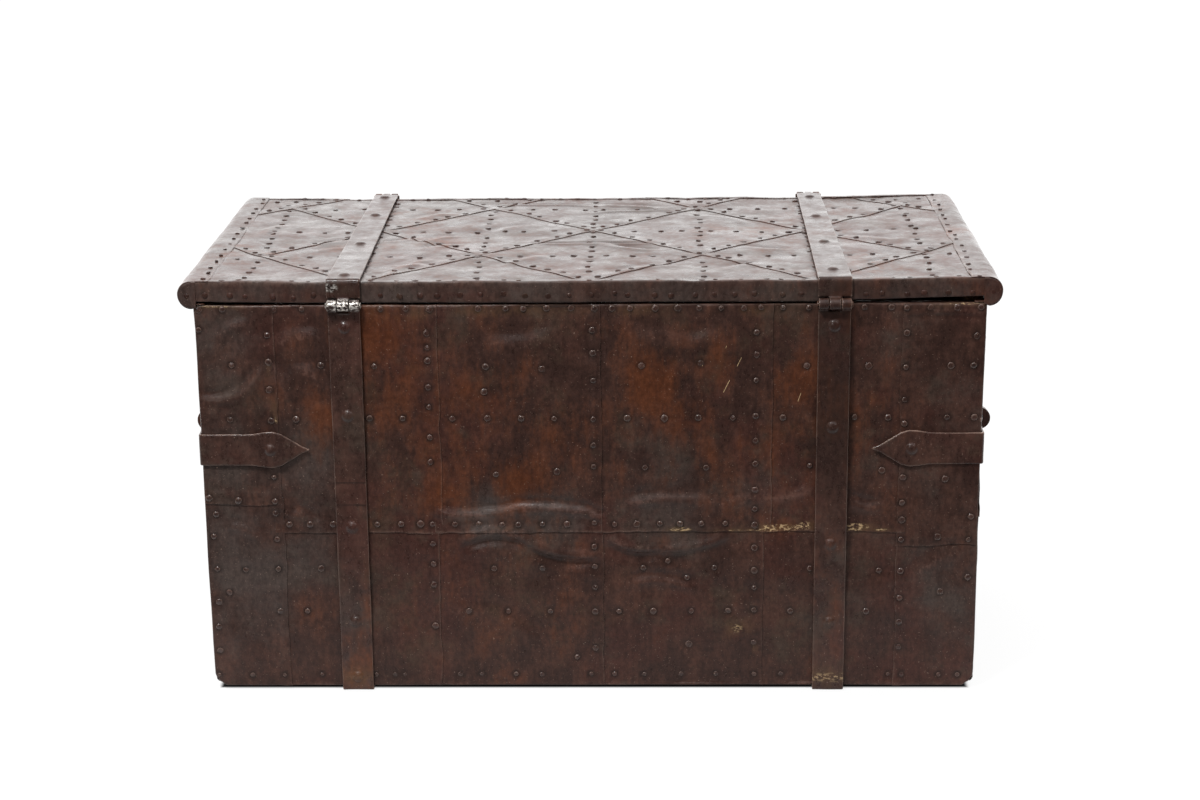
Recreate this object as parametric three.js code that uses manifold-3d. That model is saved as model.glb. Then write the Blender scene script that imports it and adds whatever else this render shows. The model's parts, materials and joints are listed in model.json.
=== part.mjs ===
// An iron strongbox: an oak chest clad in nailed sheet iron, with a lid of lapped lozenge sheets,
// strap hinges that end in hasps, and iron bands round both ends that carry bail handles.
// Millimetres. +X runs along the chest, +Y points to the hasp side and +Z up. The origin is on
// the floor under the middle of the whole outline.
import * as THREE from 'three';
import { mergeVertices } from 'three/addons/utils/BufferGeometryUtils.js';
import Module from 'manifold-3d';

const wasm = await Module();
wasm.setup();

// Chest, measured over the lapped sheets
const bodyWidth = 1160;
const bodyDepth = 583;
const bodyHeight = 600;
const board = 24;
const sheet = 1;
const seat = 0.3;
const overrun = 20;

// Sheet cladding: seams as shares of the wall, counted from its middle or from its foot
const lap = 18;
const joggle = 5;
const backSeamShares = [-0.402, -0.197, 0.015, 0.222, 0.394];
const backRowShares = [0.488, 0.413, 0.413, 0.413, 0.413, 0.378];
const frontSeamShares = [-0.2, 0.2];
const frontRowShares = [0.43, 0.413, 0.43];
const endRowShares = [0.45];

// Lid
const lidFrontOverhang = 22;
const lidEndOverhang = 22;
const lidBoard = 29.2;
const lidGap = 4;
const lozengeWidth = 337;
const lozengeDepth = 344;
const lozengeRise = 1.2;
const lozengeTip = 6;
const borderWidth = 47;
const endSheet = 1.6;
const cleatGap = 1.5;
const cleatDrop = 9;

// Straps and their nails
const strapInset = 222;
const strapWidth = 48;
const strapThickness = 5.5;
const strapFoot = 62;
const lidStrapRear = 50;
const lidStrapFront = 39;
const strapBend = 6.5;
const nailRadius = 8.5;
const nailHeight = 3.6;
const nailSink = 1.5;
const nailProfileShares = [[1, 0.2], [0.8, 0.7], [0.4, 0.95], [0, 1]];
const leftRearNailShares = [0.03, 0.18, 0.432, 0.722, 0.947];
const rightRearNailShares = [0.177, 0.385, 0.69, 0.948];
const frontNailShares = [0.05, 0.27, 0.5, 0.72];
const leftLidNailShares = [0.033, 0.377, 0.73, 0.965];
const rightLidNailShares = [0.074, 0.38, 0.693, 0.95];

// Rear hinges
const knuckleRadius = 9;
const pinRadius = 3.5;
const pinHeadRadius = 5.6;
const pinHead = 2.2;
const pinCrownShare = 0.75;
const rearTongue = 17;
const knuckleGap = 0.8;
const notchDepth = 2.5;

// Hasps and staples
const haspKnuckle = 7.5;
const haspStandoff = 4;
const haspPin = 3;
const haspPinHead = 4.8;
const frontTongue = 13;
const haspThickness = 5;
const haspLength = 165;
const haspLeaf = 40;
const haspLip = 9;
const slotWidth = 12;
const slotLength = 45;
const slotDrop = 1.5;
const stapleDrop = 120;
const stapleSpan = 26;
const stapleRod = 3.5;
const stapleClear = 1.5;
const haspOutlineShares = [
  [0.1, 0.49], [0.34, 0.36], [0.5, 0.38], [0.63, 0.49], [0.78, 0.5], [0.89, 0.4], [0.96, 0.22], [1, 0.08],
];
const haspCurlShare = 0.33;

// End bands, handle eyes and bail handles
const bandLevelShare = 0.633;
const bandWidth = 49;
const spearWidth = 57;
const bandThickness = 4;
const bandCorner = 6;
const spearReach = 163;
const spearNailShare = 0.36;
const spearShares = [
  [0, 0.04], [0.07, 0.2], [0.16, 0.52], [0.26, 0.88], [0.335, 1], [0.41, 0.98], [0.5, 0.89],
  [0.58, bandWidth / spearWidth],
];
const eyeSpacing = 268;
const eyeRadius = 18;
const eyeOffset = 11.4;
const eyeThickness = 12;
const eyeFlange = 3.5;
const eyeFlangeLength = 44;
const eyeFlangeHeight = 30;
const eyeClear = 0.5;
const bailRod = 5.8;
const bailGap = 4;
const bailDrop = 86;
const bailTail = 6;
const bailShoulder = 22;
const bailBend = 34;
const gripRadius = 9;
const gripLength = 104;
const gripEndShare = 0.75;
const gripProfileShares = [
  [0, 0], [gripEndShare, 0], [0.9, 0.2], [1, 0.5], [0.9, 0.8], [gripEndShare, 1], [0, 1],
];

// Facets
const knuckleFacets = 28;
const noseFacets = 14;
const rodSides = 10;
const bailSteps = 44;
const stapleSteps = 14;
const nailSides = 10;
const gripSides = 12;
const cornerFacets = 4;
const slotFacets = 8;

// How far the control point of a Bezier curve stands from the end of a quarter circle
const quarterTurnShare = 0.5523;

// Colours of the finish
const ironColours = { sheet: 0x3e2d28, strap: 0x46352f, lid: 0x4a3b35, fitting: 0x3a302c };
const oakColour = 0x6b4d33;

// Levels, all from the floor
const bodyBottom = strapThickness + seat;
const bodyTop = bodyBottom + bodyHeight;
const lidUnder = bodyTop + lidGap;
const lidBoardTop = lidUnder + lidBoard;
const lidSheetTop = lidBoardTop + seat + sheet;
const lozengeTop = lidSheetTop + lozengeRise;
const lidStrapUnder = lozengeTop + seat;
const lidStrapTop = lidStrapUnder + strapThickness;
const bandLevel = bodyBottom + bandLevelShare * bodyHeight;

// Faces, all from the middle of the chest
const lapRise = sheet + seat;
const halfWidth = bodyWidth / 2;
const halfDepth = bodyDepth / 2;
const sheetFaceX = halfWidth - lapRise;
const sheetFaceY = halfDepth - lapRise;
const boardFaceX = sheetFaceX - sheet - seat;
const boardFaceY = sheetFaceY - sheet - seat;
const innerX = boardFaceX - board;
const innerY = boardFaceY - board;
const strapPlace = halfWidth - strapInset;
const strapSeat = halfDepth + seat;
const strapFace = strapSeat + strapThickness;
const lidBack = -halfDepth;
const lidFront = halfDepth + lidFrontOverhang;
const lidDepth = lidFront - lidBack;
const lidEnd = halfWidth + lidEndOverhang;
const cleatInside = halfWidth + cleatGap;
const noseRadius = (lidBoard + cleatDrop - endSheet - seat) / 2;
const cleatOutside = lidEnd - endSheet - seat;
const noseCentre = new THREE.Vector2(cleatOutside - noseRadius, lidBoardTop - noseRadius);
const borderSeam = lidEnd - borderWidth;

// Hinge axes
const hingeAxis = new THREE.Vector2(-(strapSeat + knuckleRadius), bodyTop + lidGap / 2);
const haspAxis = new THREE.Vector2(lidFront + haspStandoff + haspKnuckle, lidStrapTop - haspKnuckle);
const stapleLevel = haspAxis.y - stapleDrop;
const stapleTip = haspAxis.x - haspThickness / 2 - stapleClear;
const eyeX = sheetFaceX + seat + bandThickness + seat + eyeOffset;
const frontReach = haspAxis.x + haspKnuckle;
const rearReach = strapSeat + 2 * knuckleRadius;

const X = new THREE.Vector3(1, 0, 0);
const Y = new THREE.Vector3(0, 1, 0);
const Z = new THREE.Vector3(0, 0, 1);
const alongX = new THREE.Matrix4().makeBasis(Y, Z, X);
const alongY = new THREE.Matrix4().makeBasis(X, Z, Y.clone().negate());

function weld(geometry) {
  const bare = geometry.clone();
  bare.deleteAttribute('normal');
  bare.deleteAttribute('uv');
  const merged = mergeVertices(bare);
  const kept = [];
  const index = merged.index.array;
  for (let i = 0; i < index.length; i += 3) {
    const [a, b, c] = index.subarray(i, i + 3);
    if (a !== b && b !== c && c !== a) kept.push(a, b, c);
  }
  merged.setIndex(kept);
  return merged;
}

function solid(geometry) {
  const welded = weld(geometry);
  return new wasm.Manifold(new wasm.Mesh({
    numProp: 3,
    vertProperties: new Float32Array(welded.attributes.position.array),
    triVerts: new Uint32Array(welded.index.array),
  }));
}

function geometryOf(body) {
  const mesh = body.getMesh();
  const geometry = new THREE.BufferGeometry();
  geometry.setAttribute('position', new THREE.BufferAttribute(new Float32Array(mesh.vertProperties), 3));
  geometry.setIndex(new THREE.BufferAttribute(new Uint32Array(mesh.triVerts), 1));
  geometry.computeVertexNormals();
  return geometry;
}

// The lower and the higher of two values
function span(a, b) {
  return [Math.min(a, b), Math.max(a, b)];
}

function points(pairs) {
  return pairs.map(([a, b]) => new THREE.Vector2(a, b));
}

function arc(centre, radius, from, to, steps) {
  const made = [];
  for (let i = 0; i <= steps; i += 1) {
    const angle = from + ((to - from) * i) / steps;
    made.push(new THREE.Vector2(centre.x + radius * Math.cos(angle), centre.y + radius * Math.sin(angle)));
  }
  return made;
}

function circle(centre, radius, sides) {
  return arc(centre, radius, 0, (2 * Math.PI * (sides - 1)) / sides, sides - 1);
}

function extrude(outline, depth, holes) {
  const turned = THREE.ShapeUtils.isClockWise(outline) ? [...outline].reverse() : outline;
  const shape = new THREE.Shape(turned);
  for (const hole of holes) shape.holes.push(new THREE.Path(hole));
  return new THREE.ExtrudeGeometry(shape, { depth, bevelEnabled: false, steps: 1 });
}

// Prisms: the outline is given in (y, z), (x, z) or (x, y)
function prismX(outline, from, to, holes = []) {
  return solid(extrude(outline, to - from, holes).translate(0, 0, from).applyMatrix4(alongX));
}

function prismY(outline, from, to, holes = []) {
  return solid(extrude(outline, to - from, holes).translate(0, 0, -to).applyMatrix4(alongY));
}

function prismZ(outline, from, to) {
  return solid(extrude(outline, to - from, []).translate(0, 0, from));
}

function block(low, high) {
  const size = high.map((value, i) => value - low[i]);
  const middle = high.map((value, i) => (value + low[i]) / 2);
  return solid(new THREE.BoxGeometry(...size).translate(...middle));
}

function sweep(path, radius, steps) {
  const section = new THREE.Shape(circle(new THREE.Vector2(0, 0), radius, rodSides));
  return solid(new THREE.ExtrudeGeometry(section, { steps, extrudePath: path }));
}

// A domed nail head, standing along a direction on a face
function nail(place, direction) {
  const crown = nailProfileShares.map(([out, up]) => [out * nailRadius, up * nailHeight]);
  const profile = points([[0, -nailSink], [nailRadius, -nailSink], ...crown]);
  const dome = new THREE.LatheGeometry(profile, nailSides);
  dome.applyQuaternion(new THREE.Quaternion().setFromUnitVectors(Y, direction));
  return solid(dome.translate(...place));
}

function nailed(body, places, direction) {
  return places.reduce((made, place) => made.add(nail(place, direction)), body);
}

// Boards of the chest
function sideBoard(side) {
  const faces = span(side * innerY, side * boardFaceY);
  return block([-boardFaceX, faces[0], bodyBottom], [boardFaceX, faces[1], bodyTop]);
}

function endBoard(side) {
  const faces = span(side * innerX, side * boardFaceX);
  return block([faces[0], -innerY + seat, bodyBottom], [faces[1], innerY - seat, bodyTop]);
}

function bottomBoard() {
  const reach = [innerX - seat, innerY - seat];
  return block([-reach[0], -reach[1], bodyBottom], [reach[0], reach[1], bodyBottom + board]);
}

// Sheets: an upper sheet is joggled out over the top edge of the sheet below it
function sheetProfile(reach, seam, upper) {
  const face = reach - lapRise;
  const back = face - sheet;
  const lapEnd = seam + lap + seat;
  if (!upper) return [[back, bodyBottom], [face, bodyBottom], [face, seam + lap], [back, seam + lap]];
  return [
    [face + seat, seam], [reach, seam], [reach, lapEnd], [face, lapEnd + joggle], [face, bodyTop],
    [back, bodyTop], [back, lapEnd + joggle], [face + seat, lapEnd],
  ];
}

function wallSheet(side, reach, from, to, seam, upper, prism) {
  const outline = sheetProfile(reach, seam, upper).map(([out, level]) => [side * out, level]);
  return prism(points(outline), from, to);
}

function addWall(parent, name, wall) {
  const inner = wall.seamShares.map((share) => share * wall.length);
  const edges = [-wall.end, ...inner, wall.end];
  wall.rowShares.forEach((share, column) => {
    const from = edges[column] + (column > 0 ? seat / 2 : 0);
    const to = edges[column + 1] - (column < inner.length ? seat / 2 : 0);
    const seam = bodyBottom + share * bodyHeight;
    const label = wall.rowShares.length > 1 ? `${name}_${column + 1}` : name;
    for (const [level, upper] of [['lower', false], ['upper', true]]) {
      const made = wallSheet(wall.side, wall.reach, from, to, seam, upper, wall.prism);
      add(parent, `${label}_${level}`, sheetIron, made);
    }
  });
}

// Straps on the chest: a foot bent under the bottom, and on the rear side two rolled knuckles
function wallStrapOutline(withKnuckle) {
  const bend = new THREE.Vector2(strapFace - strapThickness, strapThickness);
  const foot = [[strapSeat - strapFoot, strapThickness], [strapSeat - strapFoot, 0]];
  const heel = arc(bend, strapThickness, -Math.PI / 2, 0, cornerFacets);
  const inside = [[strapSeat, strapThickness]];
  if (!withKnuckle) {
    const top = [[strapFace, bodyTop - seat], [strapSeat, bodyTop - seat]];
    return [...points(foot), ...heel, ...points(top), ...points(inside)];
  }
  const centre = new THREE.Vector2(-hingeAxis.x, hingeAxis.y);
  const start = Math.acos((knuckleRadius - strapThickness) / knuckleRadius) - Math.PI;
  const roll = arc(centre, knuckleRadius, start, Math.PI, knuckleFacets);
  return [...points(foot), ...heel, ...roll, ...points(inside)];
}

function rearStrap(centre, nailShares) {
  const mirror = (list) => list.map((p) => new THREE.Vector2(-p.x, p.y));
  const hole = circle(hingeAxis, pinRadius + seat, knuckleFacets);
  const outline = mirror(wallStrapOutline(true));
  const blank = prismX(outline, centre - strapWidth / 2, centre + strapWidth / 2, [hole]);
  const gap = rearTongue / 2 + knuckleGap;
  const notchFoot = hingeAxis.y - knuckleRadius - notchDepth;
  const notch = block(
    [centre - gap, -(rearReach + overrun), notchFoot],
    [centre + gap, -(strapSeat - overrun), hingeAxis.y + knuckleRadius + overrun],
  );
  const places = nailShares.map((share) => [centre, -strapFace, bodyBottom + share * bodyHeight]);
  return nailed(blank.subtract(notch), places, Y.clone().negate());
}

function frontStrap(centre) {
  const blank = prismX(wallStrapOutline(false), centre - strapWidth / 2, centre + strapWidth / 2);
  const places = frontNailShares.map((share) => [centre, strapFace, bodyBottom + share * bodyHeight]);
  return nailed(blank, places, Y);
}

// Strap over the lid: tapered in plan, with a rolled tongue at the rear and another at the front
function lidStrapOutline() {
  const rearStart = Math.acos((knuckleRadius - strapThickness) / knuckleRadius);
  const rearRoll = arc(hingeAxis, knuckleRadius, rearStart, 2 * Math.PI, knuckleFacets);
  const frontStart = -(Math.PI + Math.asin((lidStrapUnder - haspAxis.y) / haspKnuckle));
  const frontRoll = arc(haspAxis, haspKnuckle, frontStart, Math.PI / 2, knuckleFacets);
  const bend = new THREE.Vector2(-strapFace + strapBend, lidStrapTop - strapBend);
  const shoulder = arc(bend, strapBend, Math.PI / 2, Math.PI, cornerFacets);
  return [...frontRoll, ...shoulder, ...rearRoll, new THREE.Vector2(-strapSeat, lidStrapUnder)];
}

function lidStrap(centre, nailShares) {
  const holes = [
    circle(hingeAxis, pinRadius + seat, knuckleFacets),
    circle(haspAxis, haspPin + seat, knuckleFacets),
  ];
  const rearHalf = lidStrapRear / 2;
  const frontHalf = lidStrapFront / 2;
  const blank = prismX(lidStrapOutline(), centre - rearHalf, centre + rearHalf, holes);
  const plan = points([
    [centre - rearHalf, -(rearReach + overrun)], [centre + rearHalf, -(rearReach + overrun)],
    [centre + rearHalf, -strapSeat], [centre + frontHalf, haspAxis.x],
    [centre + frontHalf, frontReach + overrun], [centre - frontHalf, frontReach + overrun],
    [centre - frontHalf, haspAxis.x], [centre - rearHalf, -strapSeat],
  ]);
  const tapered = blank.intersect(prismZ(plan, bodyTop - overrun, lidStrapTop + overrun));
  const cut = [-1, 1].reduce((made, side) => {
    const rear = span(centre + (side * rearTongue) / 2, centre + side * (rearHalf + overrun));
    const front = span(centre + (side * frontTongue) / 2, centre + side * (frontHalf + overrun));
    const rearNotch = block(
      [rear[0], -(rearReach + overrun), hingeAxis.y - knuckleRadius - overrun],
      [rear[1], -strapSeat + overrun, hingeAxis.y + knuckleRadius + knuckleGap],
    );
    const frontNotch = block(
      [front[0], haspAxis.x - haspKnuckle - knuckleGap, haspAxis.y - haspKnuckle - overrun],
      [front[1], frontReach + overrun, lidStrapTop + overrun],
    );
    return made.subtract(rearNotch).subtract(frontNotch);
  }, tapered);
  const places = nailShares.map((share) => [centre, lidBack + share * lidDepth, lidStrapTop]);
  return nailed(cut, places, Z);
}

// Pins with upset heads, lying along X
function pin(centre, axis, radius, headRadius, grip) {
  const half = grip / 2 + seat;
  const end = half + pinHead;
  const crown = headRadius * pinCrownShare;
  const profile = points([
    [0, -end], [crown, -end], [headRadius, -half - pinHead / 2], [headRadius, -half], [radius, -half],
    [radius, half], [headRadius, half], [headRadius, half + pinHead / 2], [crown, end], [0, end],
  ]);
  const turned = new THREE.LatheGeometry(profile, knuckleFacets / 2);
  turned.applyQuaternion(new THREE.Quaternion().setFromUnitVectors(Y, X));
  return solid(turned.translate(centre, axis.x, axis.y));
}

// Hasp: two rolled knuckles, a leaf-shaped plate with a slot, and a lip to lift it by
function hasp(centre) {
  const half = haspThickness / 2;
  const start = -Math.acos(half / haspKnuckle);
  const roll = arc(haspAxis, haspKnuckle, start, Math.PI - start, knuckleFacets);
  const tip = haspAxis.y - haspLength;
  const curl = haspLip * haspCurlShare;
  const profile = [
    ...roll,
    ...points([
      [haspAxis.x - half, tip + 2 * haspLip], [haspAxis.x - half + curl, tip + haspLip],
      [haspAxis.x + half, tip], [haspAxis.x + haspKnuckle - seat, tip + haspThickness / 2],
      [haspAxis.x + half + curl, tip + haspLip + half], [haspAxis.x + half, tip + 2 * haspLip + half],
    ]),
  ];
  const reach = haspLeaf / 2;
  const hole = circle(haspAxis, haspPin + seat, knuckleFacets);
  const bar = prismX(profile, centre - reach, centre + reach, [hole]);
  const edge = (side) => haspOutlineShares.map(([down, out]) => [
    centre + side * out * haspLeaf, haspAxis.y - down * haspLength,
  ]);
  const shoulder = lidStrapFront / 2;
  const top = haspAxis.y + haspKnuckle + overrun;
  const outline = points([
    [centre - shoulder, top], ...edge(-1), ...edge(1).reverse(), [centre + shoulder, top],
  ]);
  const leaf = bar.intersect(prismY(outline, haspAxis.x - overrun, haspAxis.x + overrun));
  const gap = frontTongue / 2 + knuckleGap;
  const tongueNotch = block(
    [centre - gap, haspAxis.x - haspKnuckle - overrun, haspAxis.y - haspKnuckle - knuckleGap],
    [centre + gap, haspAxis.x + haspKnuckle + overrun, top],
  );
  const slotRound = slotWidth / 2;
  const slotMiddle = stapleLevel - slotDrop;
  const slotHalf = slotLength / 2 - slotRound;
  const slot = [
    ...arc(new THREE.Vector2(centre, slotMiddle + slotHalf), slotRound, 0, Math.PI, slotFacets),
    ...arc(new THREE.Vector2(centre, slotMiddle - slotHalf), slotRound, Math.PI, 2 * Math.PI, slotFacets),
  ];
  const slotCut = prismY(slot, haspAxis.x - overrun, haspAxis.x + overrun);
  return leaf.subtract(tongueNotch).subtract(slotCut);
}

// Staple: a round rod bent in a loop that stands out of the front strap
function staple(centre) {
  const radius = stapleSpan / 2;
  const crown = stapleTip - stapleRod - radius;
  const base = strapFace + seat;
  const path = new THREE.CurvePath();
  const at = (y, z) => new THREE.Vector3(centre, y, z);
  path.add(new THREE.LineCurve3(at(base, stapleLevel - radius), at(crown, stapleLevel - radius)));
  const control = radius * quarterTurnShare;
  path.add(new THREE.CubicBezierCurve3(
    at(crown, stapleLevel - radius), at(crown + control, stapleLevel - radius),
    at(crown + radius, stapleLevel - control), at(crown + radius, stapleLevel),
  ));
  path.add(new THREE.CubicBezierCurve3(
    at(crown + radius, stapleLevel), at(crown + radius, stapleLevel + control),
    at(crown + control, stapleLevel + radius), at(crown, stapleLevel + radius),
  ));
  path.add(new THREE.LineCurve3(at(crown, stapleLevel + radius), at(base, stapleLevel + radius)));
  return sweep(path, stapleRod, stapleSteps);
}

// Band round one end of the chest, with a spear point on the back and on the front
function endBand(side) {
  const seatX = sheetFaceX + seat;
  const seatY = sheetFaceY + seat;
  const outX = seatX + bandThickness;
  const outY = seatY + bandThickness;
  const tipX = halfWidth - spearReach;
  const rearCorner = new THREE.Vector2(outX - bandCorner, -outY + bandCorner);
  const frontCorner = new THREE.Vector2(outX - bandCorner, outY - bandCorner);
  const plan = [
    ...points([[tipX, -seatY], [tipX, -outY]]),
    ...arc(rearCorner, bandCorner, -Math.PI / 2, 0, cornerFacets),
    ...arc(frontCorner, bandCorner, 0, Math.PI / 2, cornerFacets),
    ...points([[tipX, outY], [tipX, seatY], [seatX, seatY], [seatX, -seatY]]),
  ].map((p) => new THREE.Vector2(side * p.x, p.y));
  const half = spearWidth / 2;
  const ring = prismZ(plan, bandLevel - half, bandLevel + half);
  const edge = (way) => spearShares.map(([along, out]) => [
    side * (tipX + along * spearReach), bandLevel + way * out * half,
  ]);
  const far = side * (outX + overrun);
  const outline = points([
    ...edge(-1), [far, bandLevel - bandWidth / 2], [far, bandLevel + bandWidth / 2], ...edge(1).reverse(),
  ]);
  const shaped = ring.intersect(prismY(outline, -outY - overrun, outY + overrun));
  const nailX = side * (tipX + spearNailShare * spearReach);
  const rear = nailed(shaped, [[nailX, -outY, bandLevel]], Y.clone().negate());
  return nailed(rear, [[nailX, outY, bandLevel]], Y);
}

// Eye for the bail, on a flange that lies on the band
function handleEye(side, y) {
  const base = eyeX - eyeOffset;
  const turn = Math.PI - Math.acos(eyeOffset / eyeRadius);
  const centre = new THREE.Vector2(eyeX, bandLevel);
  const outline = arc(centre, eyeRadius, -turn, turn, knuckleFacets);
  const hole = circle(centre, bailRod + eyeClear, knuckleFacets);
  const mirror = (list) => list.map((p) => new THREE.Vector2(side * p.x, p.y));
  const ring = prismY(mirror(outline), y - eyeThickness / 2, y + eyeThickness / 2, [mirror(hole)]);
  const faces = span(side * base, side * (base + eyeFlange));
  const flange = block(
    [faces[0], y - eyeFlangeLength / 2, bandLevel - eyeFlangeHeight / 2],
    [faces[1], y + eyeFlangeLength / 2, bandLevel + eyeFlangeHeight / 2],
  );
  return ring.add(flange);
}

// Bail handle: straight ends through both eyes, bent arms and a thicker grip
function bail(side) {
  const x = side * eyeX;
  const end = eyeSpacing / 2 + eyeThickness / 2 + bailTail;
  const arm = eyeSpacing / 2 - eyeThickness / 2 - bailGap - bailRod;
  const foot = bandLevel - bailDrop;
  const inner = arm - bailRod;
  const knee = bandLevel - bailShoulder;
  const at = (y, z) => new THREE.Vector3(x, y, z);
  const path = new THREE.CurvePath();
  path.add(new THREE.LineCurve3(at(-end, bandLevel), at(-arm - bailGap, bandLevel)));
  path.add(new THREE.QuadraticBezierCurve3(
    at(-arm - bailGap, bandLevel), at(-inner, bandLevel), at(-inner, knee),
  ));
  path.add(new THREE.QuadraticBezierCurve3(at(-inner, knee), at(-inner, foot), at(-inner + bailBend, foot)));
  path.add(new THREE.LineCurve3(at(-inner + bailBend, foot), at(inner - bailBend, foot)));
  path.add(new THREE.QuadraticBezierCurve3(at(inner - bailBend, foot), at(inner, foot), at(inner, knee)));
  path.add(new THREE.QuadraticBezierCurve3(
    at(inner, knee), at(inner, bandLevel), at(arm + bailGap, bandLevel),
  ));
  path.add(new THREE.LineCurve3(at(arm + bailGap, bandLevel), at(end, bandLevel)));
  const half = gripLength / 2;
  const profile = points(gripProfileShares.map(([out, along]) => [
    out * gripRadius, along * gripLength - half,
  ]));
  const grip = new THREE.LatheGeometry(profile, gripSides).translate(x, 0, foot);
  return sweep(path, bailRod, bailSteps).add(solid(grip));
}

// Lid
function lidPanel() {
  const reach = cleatInside - seat;
  return block([-reach, lidBack + lapRise, lidUnder], [reach, lidFront - lapRise, lidBoardTop]);
}

function cleatOutline(side) {
  const nose = arc(noseCentre, noseRadius, -Math.PI / 2, Math.PI / 2, noseFacets);
  const inner = points([[cleatInside, lidBoardTop], [cleatInside, lidBoardTop - 2 * noseRadius]]);
  return [...nose, ...inner].map((p) => new THREE.Vector2(side * p.x, p.y));
}

function lidCleat(side) {
  return prismY(cleatOutline(side), lidBack + lapRise, lidFront - lapRise);
}

function lidTopSheet() {
  const reach = borderSeam - seat;
  const under = lidBoardTop + seat;
  const base = block([-reach, lidBack, under], [reach, lidFront, lidSheetTop]);
  const region = block([-reach, lidBack, under], [reach, lidFront, lozengeTop]);
  const a = lozengeWidth / 2;
  const b = lozengeDepth / 2;
  const tip = lozengeTip / Math.hypot(a, b);
  const corners = [[a, 0], [0, b], [-a, 0], [0, -b]];
  const columns = Math.ceil(reach / lozengeWidth);
  const rows = Math.ceil(lidDepth / lozengeDepth);
  let made = base;
  for (let column = -columns; column <= columns; column += 1) {
    for (let row = 0; row < rows; row += 1) {
      const outline = corners.flatMap((corner, i) => [-1, 1].map((step) => {
        const next = corners[(i + step + corners.length) % corners.length];
        return [
          column * lozengeWidth + corner[0] + (next[0] - corner[0]) * tip,
          lidBack + (row + 0.5) * lozengeDepth + corner[1] + (next[1] - corner[1]) * tip,
        ];
      }));
      made = made.add(prismZ(points(outline), under, lozengeTop).intersect(region));
    }
  }
  return made;
}

function lidEndSheet(side) {
  const inner = arc(noseCentre, noseRadius + seat, -Math.PI / 2, Math.PI / 2, noseFacets);
  const outer = arc(noseCentre, noseRadius + seat + endSheet, -Math.PI / 2, Math.PI / 2, noseFacets);
  const top = lidBoardTop + seat;
  const low = lidBoardTop - 2 * noseRadius - seat;
  const outline = [
    ...points([[cleatInside, low], [cleatInside, low - endSheet]]), ...outer,
    ...points([[borderSeam, top + endSheet], [borderSeam, top]]), ...inner.reverse(),
  ].map((p) => new THREE.Vector2(side * p.x, p.y));
  return prismY(outline, lidBack, lidFront);
}

function lidEdgeSheet(from) {
  const strip = block([-cleatInside, from, lidUnder], [cleatInside, from + sheet, lidBoardTop]);
  return [-1, 1].reduce((made, side) => made.add(prismY(cleatOutline(side), from, from + sheet)), strip);
}

// Materials, one for each kind of surface
function finish(color, roughness, metalness) {
  return new THREE.MeshStandardMaterial({ color, roughness, metalness });
}

const sheetIron = finish(ironColours.sheet, 0.42, 0.75);
const strapIron = finish(ironColours.strap, 0.4, 0.8);
const lidIron = finish(ironColours.lid, 0.38, 0.8);
const fittingIron = finish(ironColours.fitting, 0.45, 0.8);
const oak = finish(oakColour, 0.75, 0);

function add(parent, name, material, made) {
  const mesh = new THREE.Mesh(geometryOf(made), material.clone());
  mesh.name = name;
  parent.add(mesh);
}

const sides = [['left', -1], ['right', 1]];

function addChest(parent) {
  add(parent, 'front_board', oak, sideBoard(1));
  add(parent, 'back_board', oak, sideBoard(-1));
  add(parent, 'bottom_board', oak, bottomBoard());
  for (const [name, side] of sides) add(parent, `${name}_end_board`, oak, endBoard(side));
  const long = { length: bodyWidth, end: sheetFaceX, reach: halfDepth, prism: prismX };
  const short = { length: bodyDepth, end: boardFaceY, reach: halfWidth, prism: prismY, seamShares: [] };
  const back = { ...long, side: -1, seamShares: backSeamShares, rowShares: backRowShares };
  const front = { ...long, side: 1, seamShares: frontSeamShares, rowShares: frontRowShares };
  addWall(parent, 'back_sheet', back);
  addWall(parent, 'front_sheet', front);
  for (const [name, side] of sides) {
    addWall(parent, `${name}_end_sheet`, { ...short, side, rowShares: endRowShares });
  }
}

function addIronwork(parent) {
  const rearNails = { left: leftRearNailShares, right: rightRearNailShares };
  for (const [name, side] of sides) {
    const centre = side * strapPlace;
    add(parent, `${name}_rear_strap`, strapIron, rearStrap(centre, rearNails[name]));
    add(parent, `${name}_front_strap`, strapIron, frontStrap(centre));
    const hingePin = pin(centre, hingeAxis, pinRadius, pinHeadRadius, strapWidth);
    add(parent, `${name}_hinge_pin`, fittingIron, hingePin);
    add(parent, `${name}_staple`, fittingIron, staple(centre));
    add(parent, `${name}_end_band`, strapIron, endBand(side));
    add(parent, `${name}_rear_eye`, fittingIron, handleEye(side, -eyeSpacing / 2));
    add(parent, `${name}_front_eye`, fittingIron, handleEye(side, eyeSpacing / 2));
  }
}

function addLid(parent) {
  const lidNails = { left: leftLidNailShares, right: rightLidNailShares };
  add(parent, 'lid_panel', oak, lidPanel());
  add(parent, 'lid_top_sheet', lidIron, lidTopSheet());
  add(parent, 'lid_back_sheet', lidIron, lidEdgeSheet(lidBack));
  add(parent, 'lid_front_sheet', lidIron, lidEdgeSheet(lidFront - sheet));
  for (const [name, side] of sides) {
    const centre = side * strapPlace;
    add(parent, `${name}_lid_cleat`, oak, lidCleat(side));
    add(parent, `${name}_lid_end_sheet`, lidIron, lidEndSheet(side));
    add(parent, `${name}_lid_strap`, strapIron, lidStrap(centre, lidNails[name]));
    const haspPinBody = pin(centre, haspAxis, haspPin, haspPinHead, lidStrapFront);
    add(parent, `${name}_hasp_pin`, fittingIron, haspPinBody);
  }
}

function addSwingingPieces(parent) {
  for (const [name, side] of sides) {
    add(parent, `${name}_hasp`, strapIron, hasp(side * strapPlace));
    add(parent, `${name}_handle`, fittingIron, bail(side));
  }
}

const strongbox = new THREE.Group();
strongbox.position.y = (rearReach - frontReach) / 2;
addChest(strongbox);
addIronwork(strongbox);
addLid(strongbox);
addSwingingPieces(strongbox);

export default strongbox;
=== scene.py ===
import json
import math

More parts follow.
